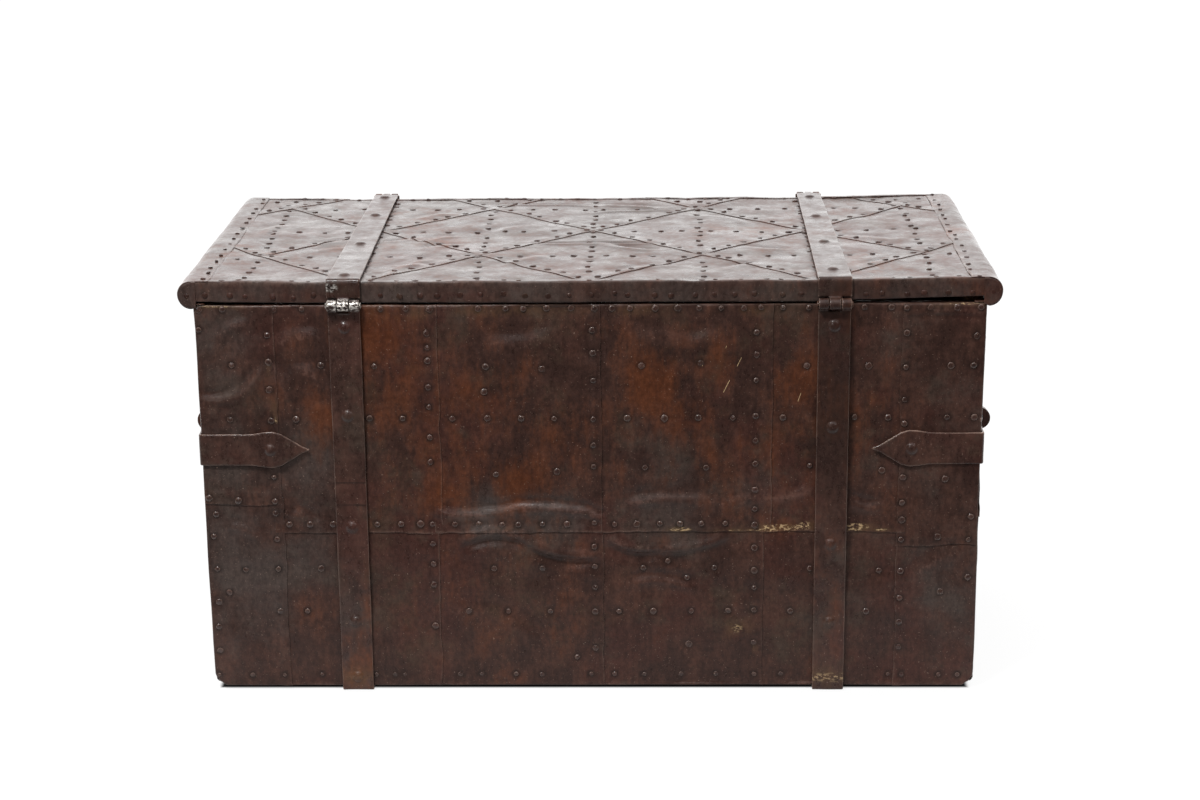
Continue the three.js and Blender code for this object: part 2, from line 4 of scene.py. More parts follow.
import bmesh
import bpy
import numpy as np
from mathutils import Matrix, Vector, kdtree

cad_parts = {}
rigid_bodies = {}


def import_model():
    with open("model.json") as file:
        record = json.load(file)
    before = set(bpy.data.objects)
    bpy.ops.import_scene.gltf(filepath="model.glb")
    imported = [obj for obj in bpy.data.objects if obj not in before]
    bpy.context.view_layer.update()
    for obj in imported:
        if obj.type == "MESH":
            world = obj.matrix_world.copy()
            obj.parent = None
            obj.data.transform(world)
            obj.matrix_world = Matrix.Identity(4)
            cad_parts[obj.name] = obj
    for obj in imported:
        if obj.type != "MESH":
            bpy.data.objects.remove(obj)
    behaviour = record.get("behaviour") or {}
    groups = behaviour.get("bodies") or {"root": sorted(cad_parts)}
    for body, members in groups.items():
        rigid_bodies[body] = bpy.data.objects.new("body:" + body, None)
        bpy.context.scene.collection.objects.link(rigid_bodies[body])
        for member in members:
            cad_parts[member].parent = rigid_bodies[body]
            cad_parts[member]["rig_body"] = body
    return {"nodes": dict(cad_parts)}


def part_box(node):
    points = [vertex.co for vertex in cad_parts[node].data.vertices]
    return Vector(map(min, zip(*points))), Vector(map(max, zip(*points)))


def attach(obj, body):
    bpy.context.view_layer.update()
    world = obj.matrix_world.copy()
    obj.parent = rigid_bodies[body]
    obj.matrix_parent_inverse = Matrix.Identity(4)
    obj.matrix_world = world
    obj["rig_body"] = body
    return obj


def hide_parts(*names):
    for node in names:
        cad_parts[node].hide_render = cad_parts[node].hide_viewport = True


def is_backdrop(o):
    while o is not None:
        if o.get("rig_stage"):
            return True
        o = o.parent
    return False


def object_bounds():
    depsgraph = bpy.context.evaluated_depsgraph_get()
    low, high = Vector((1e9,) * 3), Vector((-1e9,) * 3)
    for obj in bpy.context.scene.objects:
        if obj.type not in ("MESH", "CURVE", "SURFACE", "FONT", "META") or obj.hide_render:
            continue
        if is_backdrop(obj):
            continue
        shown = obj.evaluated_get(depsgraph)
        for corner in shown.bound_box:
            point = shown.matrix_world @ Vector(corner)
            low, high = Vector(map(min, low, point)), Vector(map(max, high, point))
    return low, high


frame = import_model()
cad_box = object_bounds()

MM = 0.001
X, Y, Z = Vector((1, 0, 0)), Vector((0, 1, 0)), Vector((0, 0, 1))

# Camera
CAMERA_PLACE = Vector((0.0889, -3.69985, 1.4592))
CAMERA_YAW = -0.0217
CAMERA_PITCH = 0.28572
CAMERA_ROLL = -0.00903
CAMERA_LENS = 72.04
SENSOR_WIDTH = 36

# Studio
ROOM_LEVEL = 0.05
BACKDROP_LEVEL = 2.5
CEILING_LEVEL = 1.3
FLOOR_HALF = 40
FLOOR_PAPER = 0.62
FLOOR_DARK = 0.07
FLOOR_GLOW = 0.88
# Painted shadow under the chest: how far it fades out beyond the chest's sides, and the floor's colour under
# the chest and beside it
PAINTED_SHADOW_RIM = 0.005
PAINTED_SHADOW_UNDER_CHEST, PAPER_BESIDE_PAINTED_SHADOW = 0.04, 0.95

# Sheets
GRID_STEP = 4 * MM
SHEET_THICKNESS = 1 * MM
LAP_RISE = 1.3 * MM
LAP_UNDER = 12 * MM
LAP_SLOPE = (9 * MM, 18 * MM)
# The upper row of a wall stands off a little more where it laps over the lower one
ROW_LAP_SLOPE = (12 * MM, 24 * MM)
ROW_LAP_SHARE = 1.1
END_LIP = 2.5 * MM
EDGE_WAVE = 2.6 * MM
WAVE_REACH = 15 * MM
# Edges don't wave this near a corner or the foot of the chest
CORNER_STAY = 20 * MM
FOOT_STAY = 0.1
BEND = 3 * MM
BEND_LIFT = 0.2 * MM
FLAP = 14 * MM
EDGE_STEPS = (0.7 * MM, 1.8 * MM)
EDGE_SHINE = 5 * MM
# Dents, as the heights and sizes of layers of noise
DENTS = ((1.6 * MM, 0.21), (2.1 * MM, 0.09), (1.6 * MM, 0.045), (0.6 * MM, 0.02))
DENT_SINK = 1 * MM
DENT_TOP = 1.2 * MM
DENT_DEPTH = 4.5 * MM
FOLD_RISE = 3 * MM
FOLD_SCALE = 2.0
FOLD_NARROW = 0.8
FOLD_FADE = (-0.12, 0.2)
CORNER_REACH = 20 * MM
CORNER_DENT = 2.4 * MM
FOOT_DENT = 0.8 * MM
FOOT_ROUND = 6 * MM

# Nails
CLOUT_RADIUS = 4.9 * MM
CLOUT_HEIGHT = 1.8 * MM
CLOUT_SINK = 1.4 * MM
CLOUT_SIDES = 9
CLOUT_WIDTHS = (0.8, 1.14)
CLOUT_TALLNESS = (0.5, 1.15)
CLOUT_LEAN = 0.09
CLOUT_SQUARE = 0.12
CLOUT_ROUGH = 0.03
CLOUT_OFF_CENTRE = 0.08
# The rings of a nail head above its foot: share of the radius and of the height
CLOUT_RINGS = ((1.0, 0.12), (0.9, 0.5), (0.66, 0.84), (0.34, 0.98))
FAINT_NAIL = 0.7
FAINT_BELOW = 30 * MM
# How far out round each nail the sheet is painted darker
NAIL_DARK_RING = 9.5 * MM
NAIL_PULL = 0.9 * MM
PULL_WIDTH = 11 * MM

# Rows along the walls whose nails aren't listed, in mm: height above the foot, and spacing
WALL_ROWS = ((14, 47), (190, 90), (425, 55))
TOP_ROW_DROP = 11 * MM
TOP_ROW_SPACING = 40
LOOSE_ROW_HEIGHT = 500 * MM
# How far rows of nails keep from the edge beside them
ROW_INSET = 10 * MM
COLUMN_INSET = 11 * MM

# Lattice of laps on the lid: half a lozenge along X and along Y
LOZENGE_X = 168.5 * MM
LOZENGE_Y = 172 * MM
LOZENGE_SIDE = math.hypot(LOZENGE_X, LOZENGE_Y)
LATTICE_LAP = 0.8 * MM
LATTICE_SLOPE = (10 * MM, 30 * MM)
LATTICE_LINES = range(-4, 6)
LATTICE_REACH = 1.2
LATTICE_NAIL_OFFSET = 19 * MM
# Each corner of the lid is one sheet: these cells of the lattice belong to their neighbours
CORNER_SHEETS = {(2, -2): (1, -2), (-2, 2): (-2, 1), (3, 0): (3, -1), (0, 3): (-1, 3)}
LOZENGE_THICKNESS = 0.9 * MM
LID_SINK = 0.6 * MM
LID_DENTS_LONG = ((1.3 * MM, 0.085), (1 * MM, 0.042))
LID_DENTS_ROUND = ((0.7 * MM, 0.19), (0.34 * MM, 0.02))
LID_DENT_SINK = 0.9 * MM
LID_DENT_DEPTH = 2.6 * MM
LID_FOLD_RISE = 0.8 * MM
LID_EDGE_REACH = 30 * MM
LID_SEAM_REACH = 35 * MM
LID_NAIL_RADIUS = 5.0 * MM
LID_NAIL_HEIGHT = 2.0 * MM
LID_NAIL_GAP = 17 * MM
ARRIS_WAVES = ((1.1 * MM, 0.08), (0.5 * MM, 0.025))
ARRIS_SINK = 0.3 * MM

# Edge strips and end sheets of the lid
STRIP_RISE = 0.5 * MM
STRIP_SPARE = 2 * MM
STRIP_STEP = 3 * MM
STRIP_FLAP = 9 * MM
STRIP_DENTS = ((0.7 * MM, 0.11), (0.3 * MM, 0.035))
STRIP_DENT_SINK = 0.3 * MM
STRIP_DENT_TOP = 0.5 * MM
STRIP_PULL = 0.6 * NAIL_PULL
STRIP_NAIL_RADIUS = 4.6 * MM
STRIP_NAIL_HEIGHT = 1.5 * MM
STRIP_NAIL_SINK = 0.4 * MM
# The height of its nails as a share of the strip, and how much that varies
STRIP_NAIL_LEVEL = (0.32, 0.04)
END_SHEET_THICKNESS = 1.5 * MM
END_SHEET_DENTS = ((0.9 * MM, 0.07), (0.35 * MM, 0.025))
END_SHEET_SINK = 0.4 * MM
END_SHEET_TOP = 0.6 * MM
END_SHEET_INSET = 0.5 * MM
END_SHEET_LAP = 0.4 * LAP_RISE
END_WAVE_REACH = 12 * MM

# The lid is warped: its ends stand a little higher than its middle
WARP_LEFT = 2.2 * MM
WARP_RIGHT = 4 * MM
WARP_SPAN = (0.39, 0.6)

# The lid is thinner near its right end
PINCH = 3 * MM
PINCH_SPAN = (0.33, 0.385)

# The foot of a rolled end stays down beside the end wall, where the rest of the end rises with the warp
NOSE_STAY = 0.4
NOSE_HANG = 1 * MM
NOSE_SPAN = (0.5745, 0.5825)

# The caps of the rolled ends: how far they reach in over the corners of the chest, and their rounded rims
CAP_REACH = 6.5 * MM
CAP_INSET = 0.4 * MM
CAP_ROUND = 2.5 * MM
CAP_RIM = 1 * MM
CAP_PROUD = 0.5 * MM
CAP_DENT = 0.4 * MM
# The rim is flat up to the end of the panel, so that it doesn't cut into the wall, and round beyond
CAP_FLAT = (-0.5 * MM, 2.5 * MM)

# Boards: how far they are drawn in under the dented sheets, and where the panel bends with the warp
INSET = 5 * MM
FOOT_INSET = 5 * MM
CLEAT_INSET = 0.8 * MM
PLANK_GAP = 0.4 * MM
PLANK_BEVEL = 1.6 * MM
PANEL_INSET = 1.5 * MM
PANEL_CUTS = np.arange(PINCH_SPAN[0], 0.57, 0.026)

# Forged pieces
PIN_PLAY = 0.3 * MM
# How much darker some straps are painted, above heights rising over the span: the lid straps all over, the
# right rear strap towards its top
STRAP_DARKENING = {"right_rear_strap": 0.75, "left_lid_strap": 0.5, "right_lid_strap": 0.5}
STRAP_DARKENING_SPAN = (0.25, 0.42)
STRAP_JOINTS = {"left_rear_strap": (335 * MM, 300 * MM)}
JOINT_WIDTH = 1.3 * MM
STRAP_FLAKES = {"left_rear_strap": 0.56, "right_rear_strap": 0.72}
FLAKES_LEVEL = 22 * MM
FLAKES_REACH = 16 * MM

# Nails of the back wall, from its middle and its foot in mm: the columns beside the seams
COLUMN_NAILS = {
    -473: [555, 514, 472, 424, 335, 298, 279, 237, 189, 121],
    -238: [558, 536, 516, 475, 444, 397, 358, 261, 230, 198, 165, 97],
    5: [561, 526, 484, 425, 384, 351, 263, 225, 193, 160, 121, 62],
    245: [557, 523, 484, 428, 390, 354, 313, 283, 258, 222, 186, 158, 122, 70],
    464: [556, 504, 454, 417, 333, 294, 267, 236, 186, 143, 104, 63],
}
# Rows: the height and the places along the wall
ROW_NAILS = {
    594: [-572, -537, -462, -421, -305, -268, -233, -162, -122, -96, -62, -26, 8, 34, 60, 97, 130, 161, 193,
          226, 251, 283, 321, 402, 441, 463, 498, 536, 571],
    426: [-534, -436, -327, -278, -204, -152, -102, -53, 55, 110, 160, 211, 285, 391, 440, 527, 567],
    261: [-453, -422, -387, -321, -285, -256, -204, -168, -133, -109, -73, -36, 35, 69, 103, 133, 165, 201],
    121: [-432, -186, -127, -63, 41, 93, 150, 206, 300, 414],
    190: [-408, -147, -74, 78, 185, 329],
    18: [-572, -520, -471, -414, -331, -302, -287, -202, -169, -117, -77, -2, 34, 79, 135, 188, 246, 287, 450,
         470, 527, 555],
}
STRAY_NAILS = [
    (-574, 563), (-528, 509), (-396, 509), (-317, 507), (-153, 506), (-70, 502), (-156, 468), (-141, 339),
    (-50, 344), (76, 507), (163, 511), (319, 506), (81, 350), (172, 348), (326, 351), (410, 505), (530, 506),
    (563, 506), (566, 551), (433, 344), (527, 331), (567, 272), (-572, 303), (-528, 299), (-563, 277),
    (-569, 241), (-566, 189), (-523, 188), (-566, 136), (-568, 97), (-568, 58), (-550, 151), (144, 174),
    (115, 201), (147, 67), (-23, 46), (432, 186), (518, 240), (565, 235), (566, 175), (525, 152),
]

# How much further some back sheets lap over the next one, in mm, by seam and row
SEAM_REACH = {(0, "upper"): 4, (0, "lower"): 6, (1, "upper"): 7, (3, "upper"): 12}

# Folds of the back sheets, in mm: from, to, bow, width and height
FOLDS = [
    (-230, 292, -110, 296, -6, 9, 1.6), (-120, 296, -10, 290, 4, 8, 1.9), (-20, 296, 20, 278, 0, 6, 1.4),
    (55, 306, 155, 310, 3, 9, 1.4), (140, 318, 245, 318, -10, 12, 0.9), (250, 316, 330, 330, -6, 12, 0.8),
    (-190, 236, -95, 236, 12, 9, -2.2), (-95, 232, 5, 212, -8, 8, -2.4), (25, 238, 100, 222, -8, 9, -2.2),
    (100, 222, 205, 240, -9, 9, -2.2), (60, 178, 150, 170, 6, 7, 1.4), (-550, 560, -500, 585, 8, 9, 0.9),
    (-572, 466, -488, 512, -16, 8, 1.4), (-545, 270, -500, 252, 4, 8, 0.8),
    (-455, 290, -410, 268, 5, 8, 0.8), (388, 306, 432, 298, -5, 7, 1.2), (-160, 560, -60, 566, -8, 12, 0.7),
    (60, 575, 190, 566, -12, 14, 0.8), (-460, 556, -400, 566, 6, 12, 0.6), (480, 190, 560, 230, 8, 12, 0.7),
    (465, 588, 578, 587, 2, 5, -0.8),
    (-430, 520, -370, 470, 6, 12, 0.5), (300, 470, 340, 420, 6, 12, 0.5), (-200, 140, -90, 90, 14, 16, 0.6),
]

# The bright mended knuckle of the left rear hinge, and a scuff above it
MEND_PLACE = (-0.358, -0.314, 0.6085)
MEND_REACH = (0.0065, 0.0115)
SCUFF_PLACE = (-0.377, -0.309, 0.634)
SCUFF_REACH = (0.003, 0.008)

# Folds of the lid, in mm in plan
LID_FOLDS = [
    (-340, -250, -300, -215, 6, 9, 1.0), (-305, -260, -255, -150, 10, 12, 1.1),
    (-305, -215, -255, -180, 5, 9, 1.0), (-270, -35, -215, 15, 8, 10, 1.0),
    (-430, -45, -380, -20, 5, 10, 0.9), (-325, -30, -280, 0, -5, 9, 0.9),
    (-425, -95, -385, -70, 6, 10, 0.7), (-160, 40, -100, 90, 8, 12, 0.8), (-165, 252, -10, 246, 3, 6, 1.0),
    (-90, -50, 90, -52, 4, 6, 1.2), (-295, 135, -250, 185, 6, 12, 0.8), (-130, -190, -80, -130, 8, 12, 0.8),
    (-540, 0, -505, 100, 8, 12, 0.7), (-265, -80, -205, -50, 6, 10, 0.9), (10, -40, 100, -95, -8, 9, 1.1),
    (-10, 190, 135, 202, 6, 8, 1.1), (5, 250, 100, 228, 4, 8, 1.0), (30, -245, 120, -190, 8, 12, 0.9),
    (190, -230, 240, -190, 6, 10, 0.8), (195, 165, 250, 100, 8, 12, 0.7), (235, -70, 300, -92, -5, 10, 0.8),
    (410, 0, 465, -35, 6, 12, 0.8), (405, -205, 460, -170, 6, 10, 0.8), (440, 120, 500, 160, 8, 14, 0.6),
]

# Scratches of the back wall, in mm: from and to; the short mark at 166 mm along, 506 to 509 mm up, is a
# painted glint at a nail head
SCRATCHES_AND_GLINT = [
    (223, 519, 217, 506), (206, 484, 197, 466), (311, 464, 307, 452), (166, 509, 166, 506),
    (201, 537, 200, 534),
]
SCRATCH_REACH = (0.1 * MM, 0.65 * MM)

# Colour zones of the back wall, in mm: place, radius and strength
RUST_ZONES = [
    (-315, 560, 70, 0.85), (-290, 470, 90, 0.5), (-190, 330, 80, 0.8), (-110, 325, 60, 1.1),
    (-215, 310, 40, 0.9), (-60, 420, 110, 0.5),
    (100, 480, 60, 0.9), (150, 440, 60, 0.7), (60, 545, 80, 0.4), (300, 470, 60, 0.7), (210, 560, 60, 0.4),
    (-130, 545, 70, 0.3), (180, 330, 90, 0.5), (-410, 120, 60, 0.1), (-380, 430, 50, 0.7),
    (370, 520, 50, 0.3), (-20, 120, 120, 0.1), (380, 60, 60, 0.25), (95, 236, 34, 0.4), (285, 242, 26, 0.7),
    (-150, 480, 110, 0.5), (40, 400, 90, 0.45), (190, 520, 90, 0.5), (330, 400, 90, 0.5),
    (250, 380, 70, 0.45),
]
# The grey zones at 272 to 280 mm, between the folds and the seam, paint the grey sheen of the folds' upward
# slopes, a painted highlight; the other grey zones are patina.
GREY_AND_SHEEN_ZONES = [
    (-540, 200, 110, 1.0), (-540, 370, 70, 0.9), (-540, 540, 80, 0.7), (-430, 370, 90, 1.0),
    (-425, 220, 70, 0.8),
    (-250, 280, 60, 0.5), (120, 275, 90, 0.7), (-150, 272, 60, 1.0), (-60, 272, 60, 0.9),
    (480, 300, 120, 0.6), (540, 150, 120, 0.6),
    (560, 430, 90, 0.5), (460, 560, 90, 0.4), (-350, 130, 80, 0.3), (90, 380, 80, 0.25), (240, 300, 70, 0.5),
]
# The two ochre zones at 599 mm near the ends paint the pale top rim, partly wear and partly a painted
# highlight of the lit bend.
OCHRE_AND_RIM_HIGHLIGHT_ZONES = [
    (-270, 588, 60, 10, 0.5), (-120, 590, 120, 8, 0.5), (60, 590, 60, 8, 0.45), (240, 590, 40, 7, 0.4),
    (134, 252, 20, 4, 1.3), (285, 254, 46, 6, 1.4), (320, 257, 14, 10, 1.0), (398, 255, 20, 7, 1.4),
    (434, 252, 14, 3, 1.0), (225, 250, 60, 2.5, 0.8), (-468, 433, 5, 22, 0.6), (-466, 424, 5, 10, 0.75),
    (-330, 258, 30, 4, 0.5), (-130, 254, 60, 2, 0.4), (220, 93, 18, 14, 0.75), (245, 62, 8, 8, 0.6),
    (-474, 508, 6, 16, 0.5), (545, 599, 34, 4, 0.9), (-545, 599, 40, 4, 0.8),
]


class Face:
    """A flat side of the chest: along to the right, up, and out of the object."""

    def __init__(self, up, out, level):
        self.along, self.up, self.out, self.level = up.cross(out), up, out, level

    def place(self, u, v, w):
        """Points in the frame for places along, up and out, which may be arrays."""
        terms = zip(np.broadcast_arrays(u, v, w), (self.along, self.up, self.out))
        return sum(np.multiply.outer(t, np.array(axis)) for t, axis in terms)

    def box(self, node):
        """The node's box as (from, to) along, up and out."""
        low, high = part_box(node)
        return [sorted((low.dot(axis), high.dot(axis))) for axis in (self.along, self.up, self.out)]


# Noise and relief
def ease(t):
    return t * t * (3 - 2 * t)


def ramp(t, low, high):
    """0 up to low and 1 from high on, smooth in between."""
    return ease(np.clip((t - low) / (high - low), 0, 1))


def noise(u, v, size, seed):
    """Smooth noise from -1 to 1 whose features are about size across."""
    table = np.random.default_rng(seed).uniform(-1, 1, (64, 64))
    turn = seed * 0.7
    a = (u * math.cos(turn) + v * math.sin(turn)) / size
    b = (v * math.cos(turn) - u * math.sin(turn)) / size
    i, j = np.floor(a).astype(int), np.floor(b).astype(int)
    s, t = ease(a - i), ease(b - j)
    corner = lambda di, dj: table[(i + di) % 64, (j + dj) % 64]
    near = corner(0, 0) * (1 - s) + corner(1, 0) * s
    far = corner(0, 1) * (1 - s) + corner(1, 1) * s
    return near * (1 - t) + far * t


def layered(u, v, seed, *layers, step=1):
    """The sum of layers of noise, each a height and a size."""
    return sum(height * noise(u, v, size, seed + step * k) for k, (height, size) in enumerate(layers))


def patches(u, v, base, swing, size, seed):
    """Noise round a base value, kept from 0 to 1."""
    return np.clip(base + swing * noise(u, v, size, seed), 0, 1)


def solid_noise(points, size, seed):
    """The same noise in space, for an array of points."""
    table = np.random.default_rng(seed).uniform(-1, 1, (32, 32, 32))
    scaled = points / size
    cell = np.floor(scaled).astype(int)
    s = ease(scaled - cell)
    total = np.zeros(len(points))
    for corner in np.ndindex(2, 2, 2):
        weight = np.prod(np.where(corner, s, 1 - s), axis=1)
        total += weight * table[tuple(((cell + corner) % 32).T)]
    return total


def dents(u, v, seed):
    """Hand-beaten unevenness of a sheet face, mostly inwards."""
    total = layered(u, v, seed, *DENTS) - DENT_SINK
    return np.minimum(total, DENT_TOP * np.tanh(total / DENT_TOP))


def fold_relief(u, v, folds):
    """The relief of buckles, which step out below each line, or above if negative, and their crests, painted
    pale, partly as wear and partly as a painted highlight.
    """
    total, crest = np.zeros_like(u), np.zeros_like(u)
    for u0, v0, u1, v1, bow, width, height in folds:
        start, end = np.array((u0, v0)) * MM, np.array((u1, v1)) * MM
        length = np.hypot(*(end - start))
        way = (end - start) / length
        du, dv = u - start[0], v - start[1]
        along = (du * way[0] + dv * way[1]) / length
        across = dv * way[0] - du * way[1] - bow * MM * 4 * along * (1 - along)
        ends = ramp(along, *FOLD_FADE) * ramp(1 - along, *FOLD_FADE)
        x = across / (width * FOLD_NARROW * MM)
        total -= FOLD_SCALE * height * MM * ends * x * np.exp(0.5 - x * x / 2)
        crest = np.maximum(crest, ends * np.exp(-4 * (x + np.sign(height)) ** 2))
    return total, crest


def zone_weight(u, v, zones):
    """The strongest zone at each point; a zone has one reach, or one along and one up."""
    total = np.zeros_like(u)
    for zone_u, zone_v, *reach, strength in zones:
        away = ((u / MM - zone_u) / reach[0]) ** 2 + ((v / MM - zone_v) / reach[-1]) ** 2
        total = np.maximum(total, strength * np.exp(-away))
    return total


def edge_wave(t, seed):
    return EDGE_WAVE * layered(t, 0 * t, seed, (0.7, 0.05), (0.3, 0.012))


def stations(low, high, step, bend_low=False, bend_high=False, flap=FLAP):
    """Places along a sheet, closer at its ends, which may be bent over and have a flap."""
    start, end = low + BEND * bend_low, high - BEND * bend_high
    inside = np.linspace(start, end, max(2, int(round((end - start) / step))) + 1)
    turn, rim = BEND * math.pi / 2, np.array(EDGE_STEPS)
    over = np.concatenate([np.linspace(0, turn, 6)[1:], turn + np.linspace(0, flap, 4)[1:]])
    parts = [inside, start - over if bend_low else low + rim, end + over if bend_high else high - rim]
    return np.unique(np.concatenate(parts).round(7))


def bent(t, low, high):
    """Where a place along a sheet lies when its ends are bent inwards: along and in, and its lean."""
    over = np.maximum(t - (high - BEND), 0) - np.maximum(low + BEND - t, 0)
    angle = np.clip(over / BEND, -math.pi / 2, math.pi / 2)
    flap = np.abs(over) - np.abs(angle) * BEND
    place = np.clip(t, low + BEND, high - BEND) + BEND * np.sin(angle)
    return place, BEND * (1 - np.cos(angle)) + flap, np.sin(angle), np.cos(angle)


# Meshes
def add_object(name, data):
    item = bpy.data.objects.new(name, data)
    bpy.context.scene.collection.objects.link(item)
    return item


def new_piece(name, mesh, body, material):
    piece = add_object(name, mesh)
    mesh.materials.clear()
    mesh.materials.append(material)
    mesh.shade_smooth()
    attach(piece, body)
    return piece


def paint(mesh, **values):
    """Keeps one number per point under each name, for the materials."""
    for name, numbers in values.items():
        layer = mesh.attributes.new(name, "FLOAT", "POINT")
        layer.data.foreach_set("value", np.asarray(numbers, np.float32).ravel())


def grid_faces(columns, rows, keep=None):
    i, j = np.meshgrid(np.arange(columns - 1), np.arange(rows - 1), indexing="ij")
    if keep is not None:
        i, j = i[keep], j[keep]
    corner = lambda di, dj: (i + di) * rows + j + dj
    return np.stack([corner(0, 0), corner(1, 0), corner(1, 1), corner(0, 1)], -1).reshape(-1, 4)


def mesh_from(name, points, faces):
    mesh = bpy.data.meshes.new(name)
    mesh.from_pydata(points.reshape(-1, 3).tolist(), [], faces.tolist())
    mesh.update()
    return mesh


def finished(work, mesh):
    """Puts what a bmesh holds into a mesh."""
    work.to_mesh(mesh)
    work.free()
    return mesh


def cut(work, place, normal):
    geometry = work.verts[:] + work.edges[:] + work.faces[:]
    bmesh.ops.bisect_plane(work, geom=geometry, dist=1e-6, plane_co=place, plane_no=normal)


def thicken(piece, thickness=SHEET_THICKNESS):
    solid = piece.modifiers.new("thickness", "SOLIDIFY")
    solid.thickness = thickness
    solid.offset = -1


def nearest_nail(u, v, nails):
    """How far each point is from the closest nail."""
    tree = kdtree.KDTree(len(nails))
    for index, (nu, nv) in enumerate(nails):
        tree.insert((nu, nv, 0), index)
    tree.balance()
    flat = zip(u.ravel().tolist(), v.ravel().tolist())
    return np.array([tree.find((a, b, 0))[2] for a, b in flat]).reshape(u.shape)


def clout_heads(name, face, places, radius, height, body, material, seed):
    """Forged nail heads joined in one mesh; each place is along, up, out and a share of the usual size."""
    draw = np.random.default_rng(seed)
    rings = [(1.0, -CLOUT_SINK / height), *CLOUT_RINGS]
    sides = range(CLOUT_SIDES)
    points, faces = [], []
    for u, v, w, share in places:
        turn = draw.uniform(0, 2 * math.pi)
        size = radius * draw.uniform(*CLOUT_WIDTHS) * share
        tall = height * draw.uniform(*CLOUT_TALLNESS) * share
        lean = draw.normal(0, CLOUT_LEAN, 2)
        square = draw.uniform(0, CLOUT_SQUARE)
        base = len(points)
        for narrow, up in rings:
            for k in sides:
                angle = 2 * math.pi * k / CLOUT_SIDES
                reach = size * narrow * (1 + square * math.cos(4 * angle) + draw.normal(0, CLOUT_ROUGH))
                du, dv = reach * math.cos(turn + angle), reach * math.sin(turn + angle)
                points.append((u + du, v + dv, w + tall * up + du * lean[0] + dv * lean[1]))
        off_u, off_v = size * draw.normal(0, CLOUT_OFF_CENTRE), size * draw.normal(0, CLOUT_OFF_CENTRE)
        points.append((u + off_u, v + off_v, w + tall))
        after = [(k + 1) % CLOUT_SIDES for k in sides]
        for low in range(base, base + CLOUT_SIDES * len(CLOUT_RINGS), CLOUT_SIDES):
            high = low + CLOUT_SIDES
            faces += [(low + k, low + after[k], high + after[k], high + k) for k in sides]
        faces += [(high + k, high + after[k], high + CLOUT_SIDES) for k in sides]
        faces.append(tuple(base + k for k in reversed(sides)))
    points = face.place(*np.array(points).T)
    return new_piece(name, mesh_from(name, points, np.array(faces, object)), body, material)


# Shaders
def srgb(red, green, blue):
    shares = (red / 255, green / 255, blue / 255)
    return (*(c / 12.92 if c <= 0.04045 else ((c + 0.055) / 1.055) ** 2.4 for c in shares), 1)


class Shader:
    """A material's nodes, written as calls."""

    def __init__(self, tree):
        self.tree = tree
        self.tree.nodes.clear()

    def feed(self, socket, value):
        if isinstance(value, bpy.types.NodeSocket):
            self.tree.links.new(value, socket)
        else:
            socket.default_value = value

    def add(self, kind, settings=None, **inputs):
        node = self.tree.nodes.new("ShaderNode" + kind)
        for key, value in (settings or {}).items():
            setattr(node, key, value)
        for key, value in inputs.items():
            self.feed(node.inputs[key.replace("_", " ")], value)
        return node

    def feed_all(self, node, *values):
        for socket, value in zip(node.inputs, values):
            self.feed(socket, value)
        return node.outputs

    def math(self, operation, *values, clamp=False):
        return self.feed_all(self.add("Math", {"operation": operation, "use_clamp": clamp}), *values)[0]

    def times(self, a, b):
        return self.math("MULTIPLY", a, b)

    def weigh(self, *terms):
        """The sum of values, each times its weight."""
        total = self.times(*terms[0])
        for term in terms[1:]:
            total = self.math("ADD", total, self.times(*term))
        return total

    def range(self, value, low, high, to_low=0.0, to_high=1.0):
        node = self.add("MapRange", {"interpolation_type": "SMOOTHSTEP"})
        return self.feed_all(node, value, low, high, to_low, to_high)[0]

    def mix(self, factor, a, b):
        node = self.add("Mix", {"data_type": "RGBA"})
        for index, value in ((0, factor), (6, a), (7, b)):
            self.feed(node.inputs[index], value)
        return node.outputs[2]

    def tint(self, colour, over, value, low, high, amount):
        """Lays a second colour over the first, up to an amount, as a value rises from low to high."""
        return self.mix(self.times(self.range(value, low, high), amount), colour, over)

    def blend(self, factor, a, b):
        return self.feed_all(self.add("MixShader"), factor, a, b)[0]

    def noise(self, place, scale, detail, roughness, stretch=None):
        if stretch:
            place = self.add("Mapping", Vector=place, Scale=stretch).outputs[0]
        return self.add("TexNoise", Vector=place, Scale=scale, Detail=detail, Roughness=roughness).outputs[0]

    def vector(self, operation, *values):
        return self.feed_all(self.add("VectorMath", {"operation": operation}), *values)

    def scaled(self, vector, share):
        return self.add("VectorMath", {"operation": "SCALE"}, Vector=vector, Scale=share).outputs[0]

    def attribute(self, name):
        return self.add("Attribute", {"attribute_name": name}).outputs["Fac"]

    def scratch(self, place, start, end):
        """1 on a short line of the back wall, 0 beside it."""
        way = Vector(end) - Vector(start)
        flat = self.vector("MULTIPLY", self.vector("SUBTRACT", place, start)[0], (1, 0.02, 1))[0]
        along = self.vector("DOT_PRODUCT", flat, way)[1]
        nearest = self.scaled(way, self.math("MULTIPLY", along, 1 / way.length_squared, clamp=True))
        return self.range(self.vector("DISTANCE", flat, nearest)[1], *SCRATCH_REACH, 1.0, 0.0)


def new_material(name):
    material = bpy.data.materials.new(name)
    material.use_nodes = True
    return material, Shader(material.node_tree)


DARK = srgb(54, 36, 31)
BROWN = srgb(71, 47, 39)
UMBER = srgb(62, 49, 38)
RUST = srgb(90, 46, 21)
MAROON = srgb(68, 39, 33)
GREY = srgb(66, 56, 52)
BLACK = srgb(27, 18, 15)
OLIVE = srgb(98, 78, 50)
OCHRE = srgb(184, 156, 118)
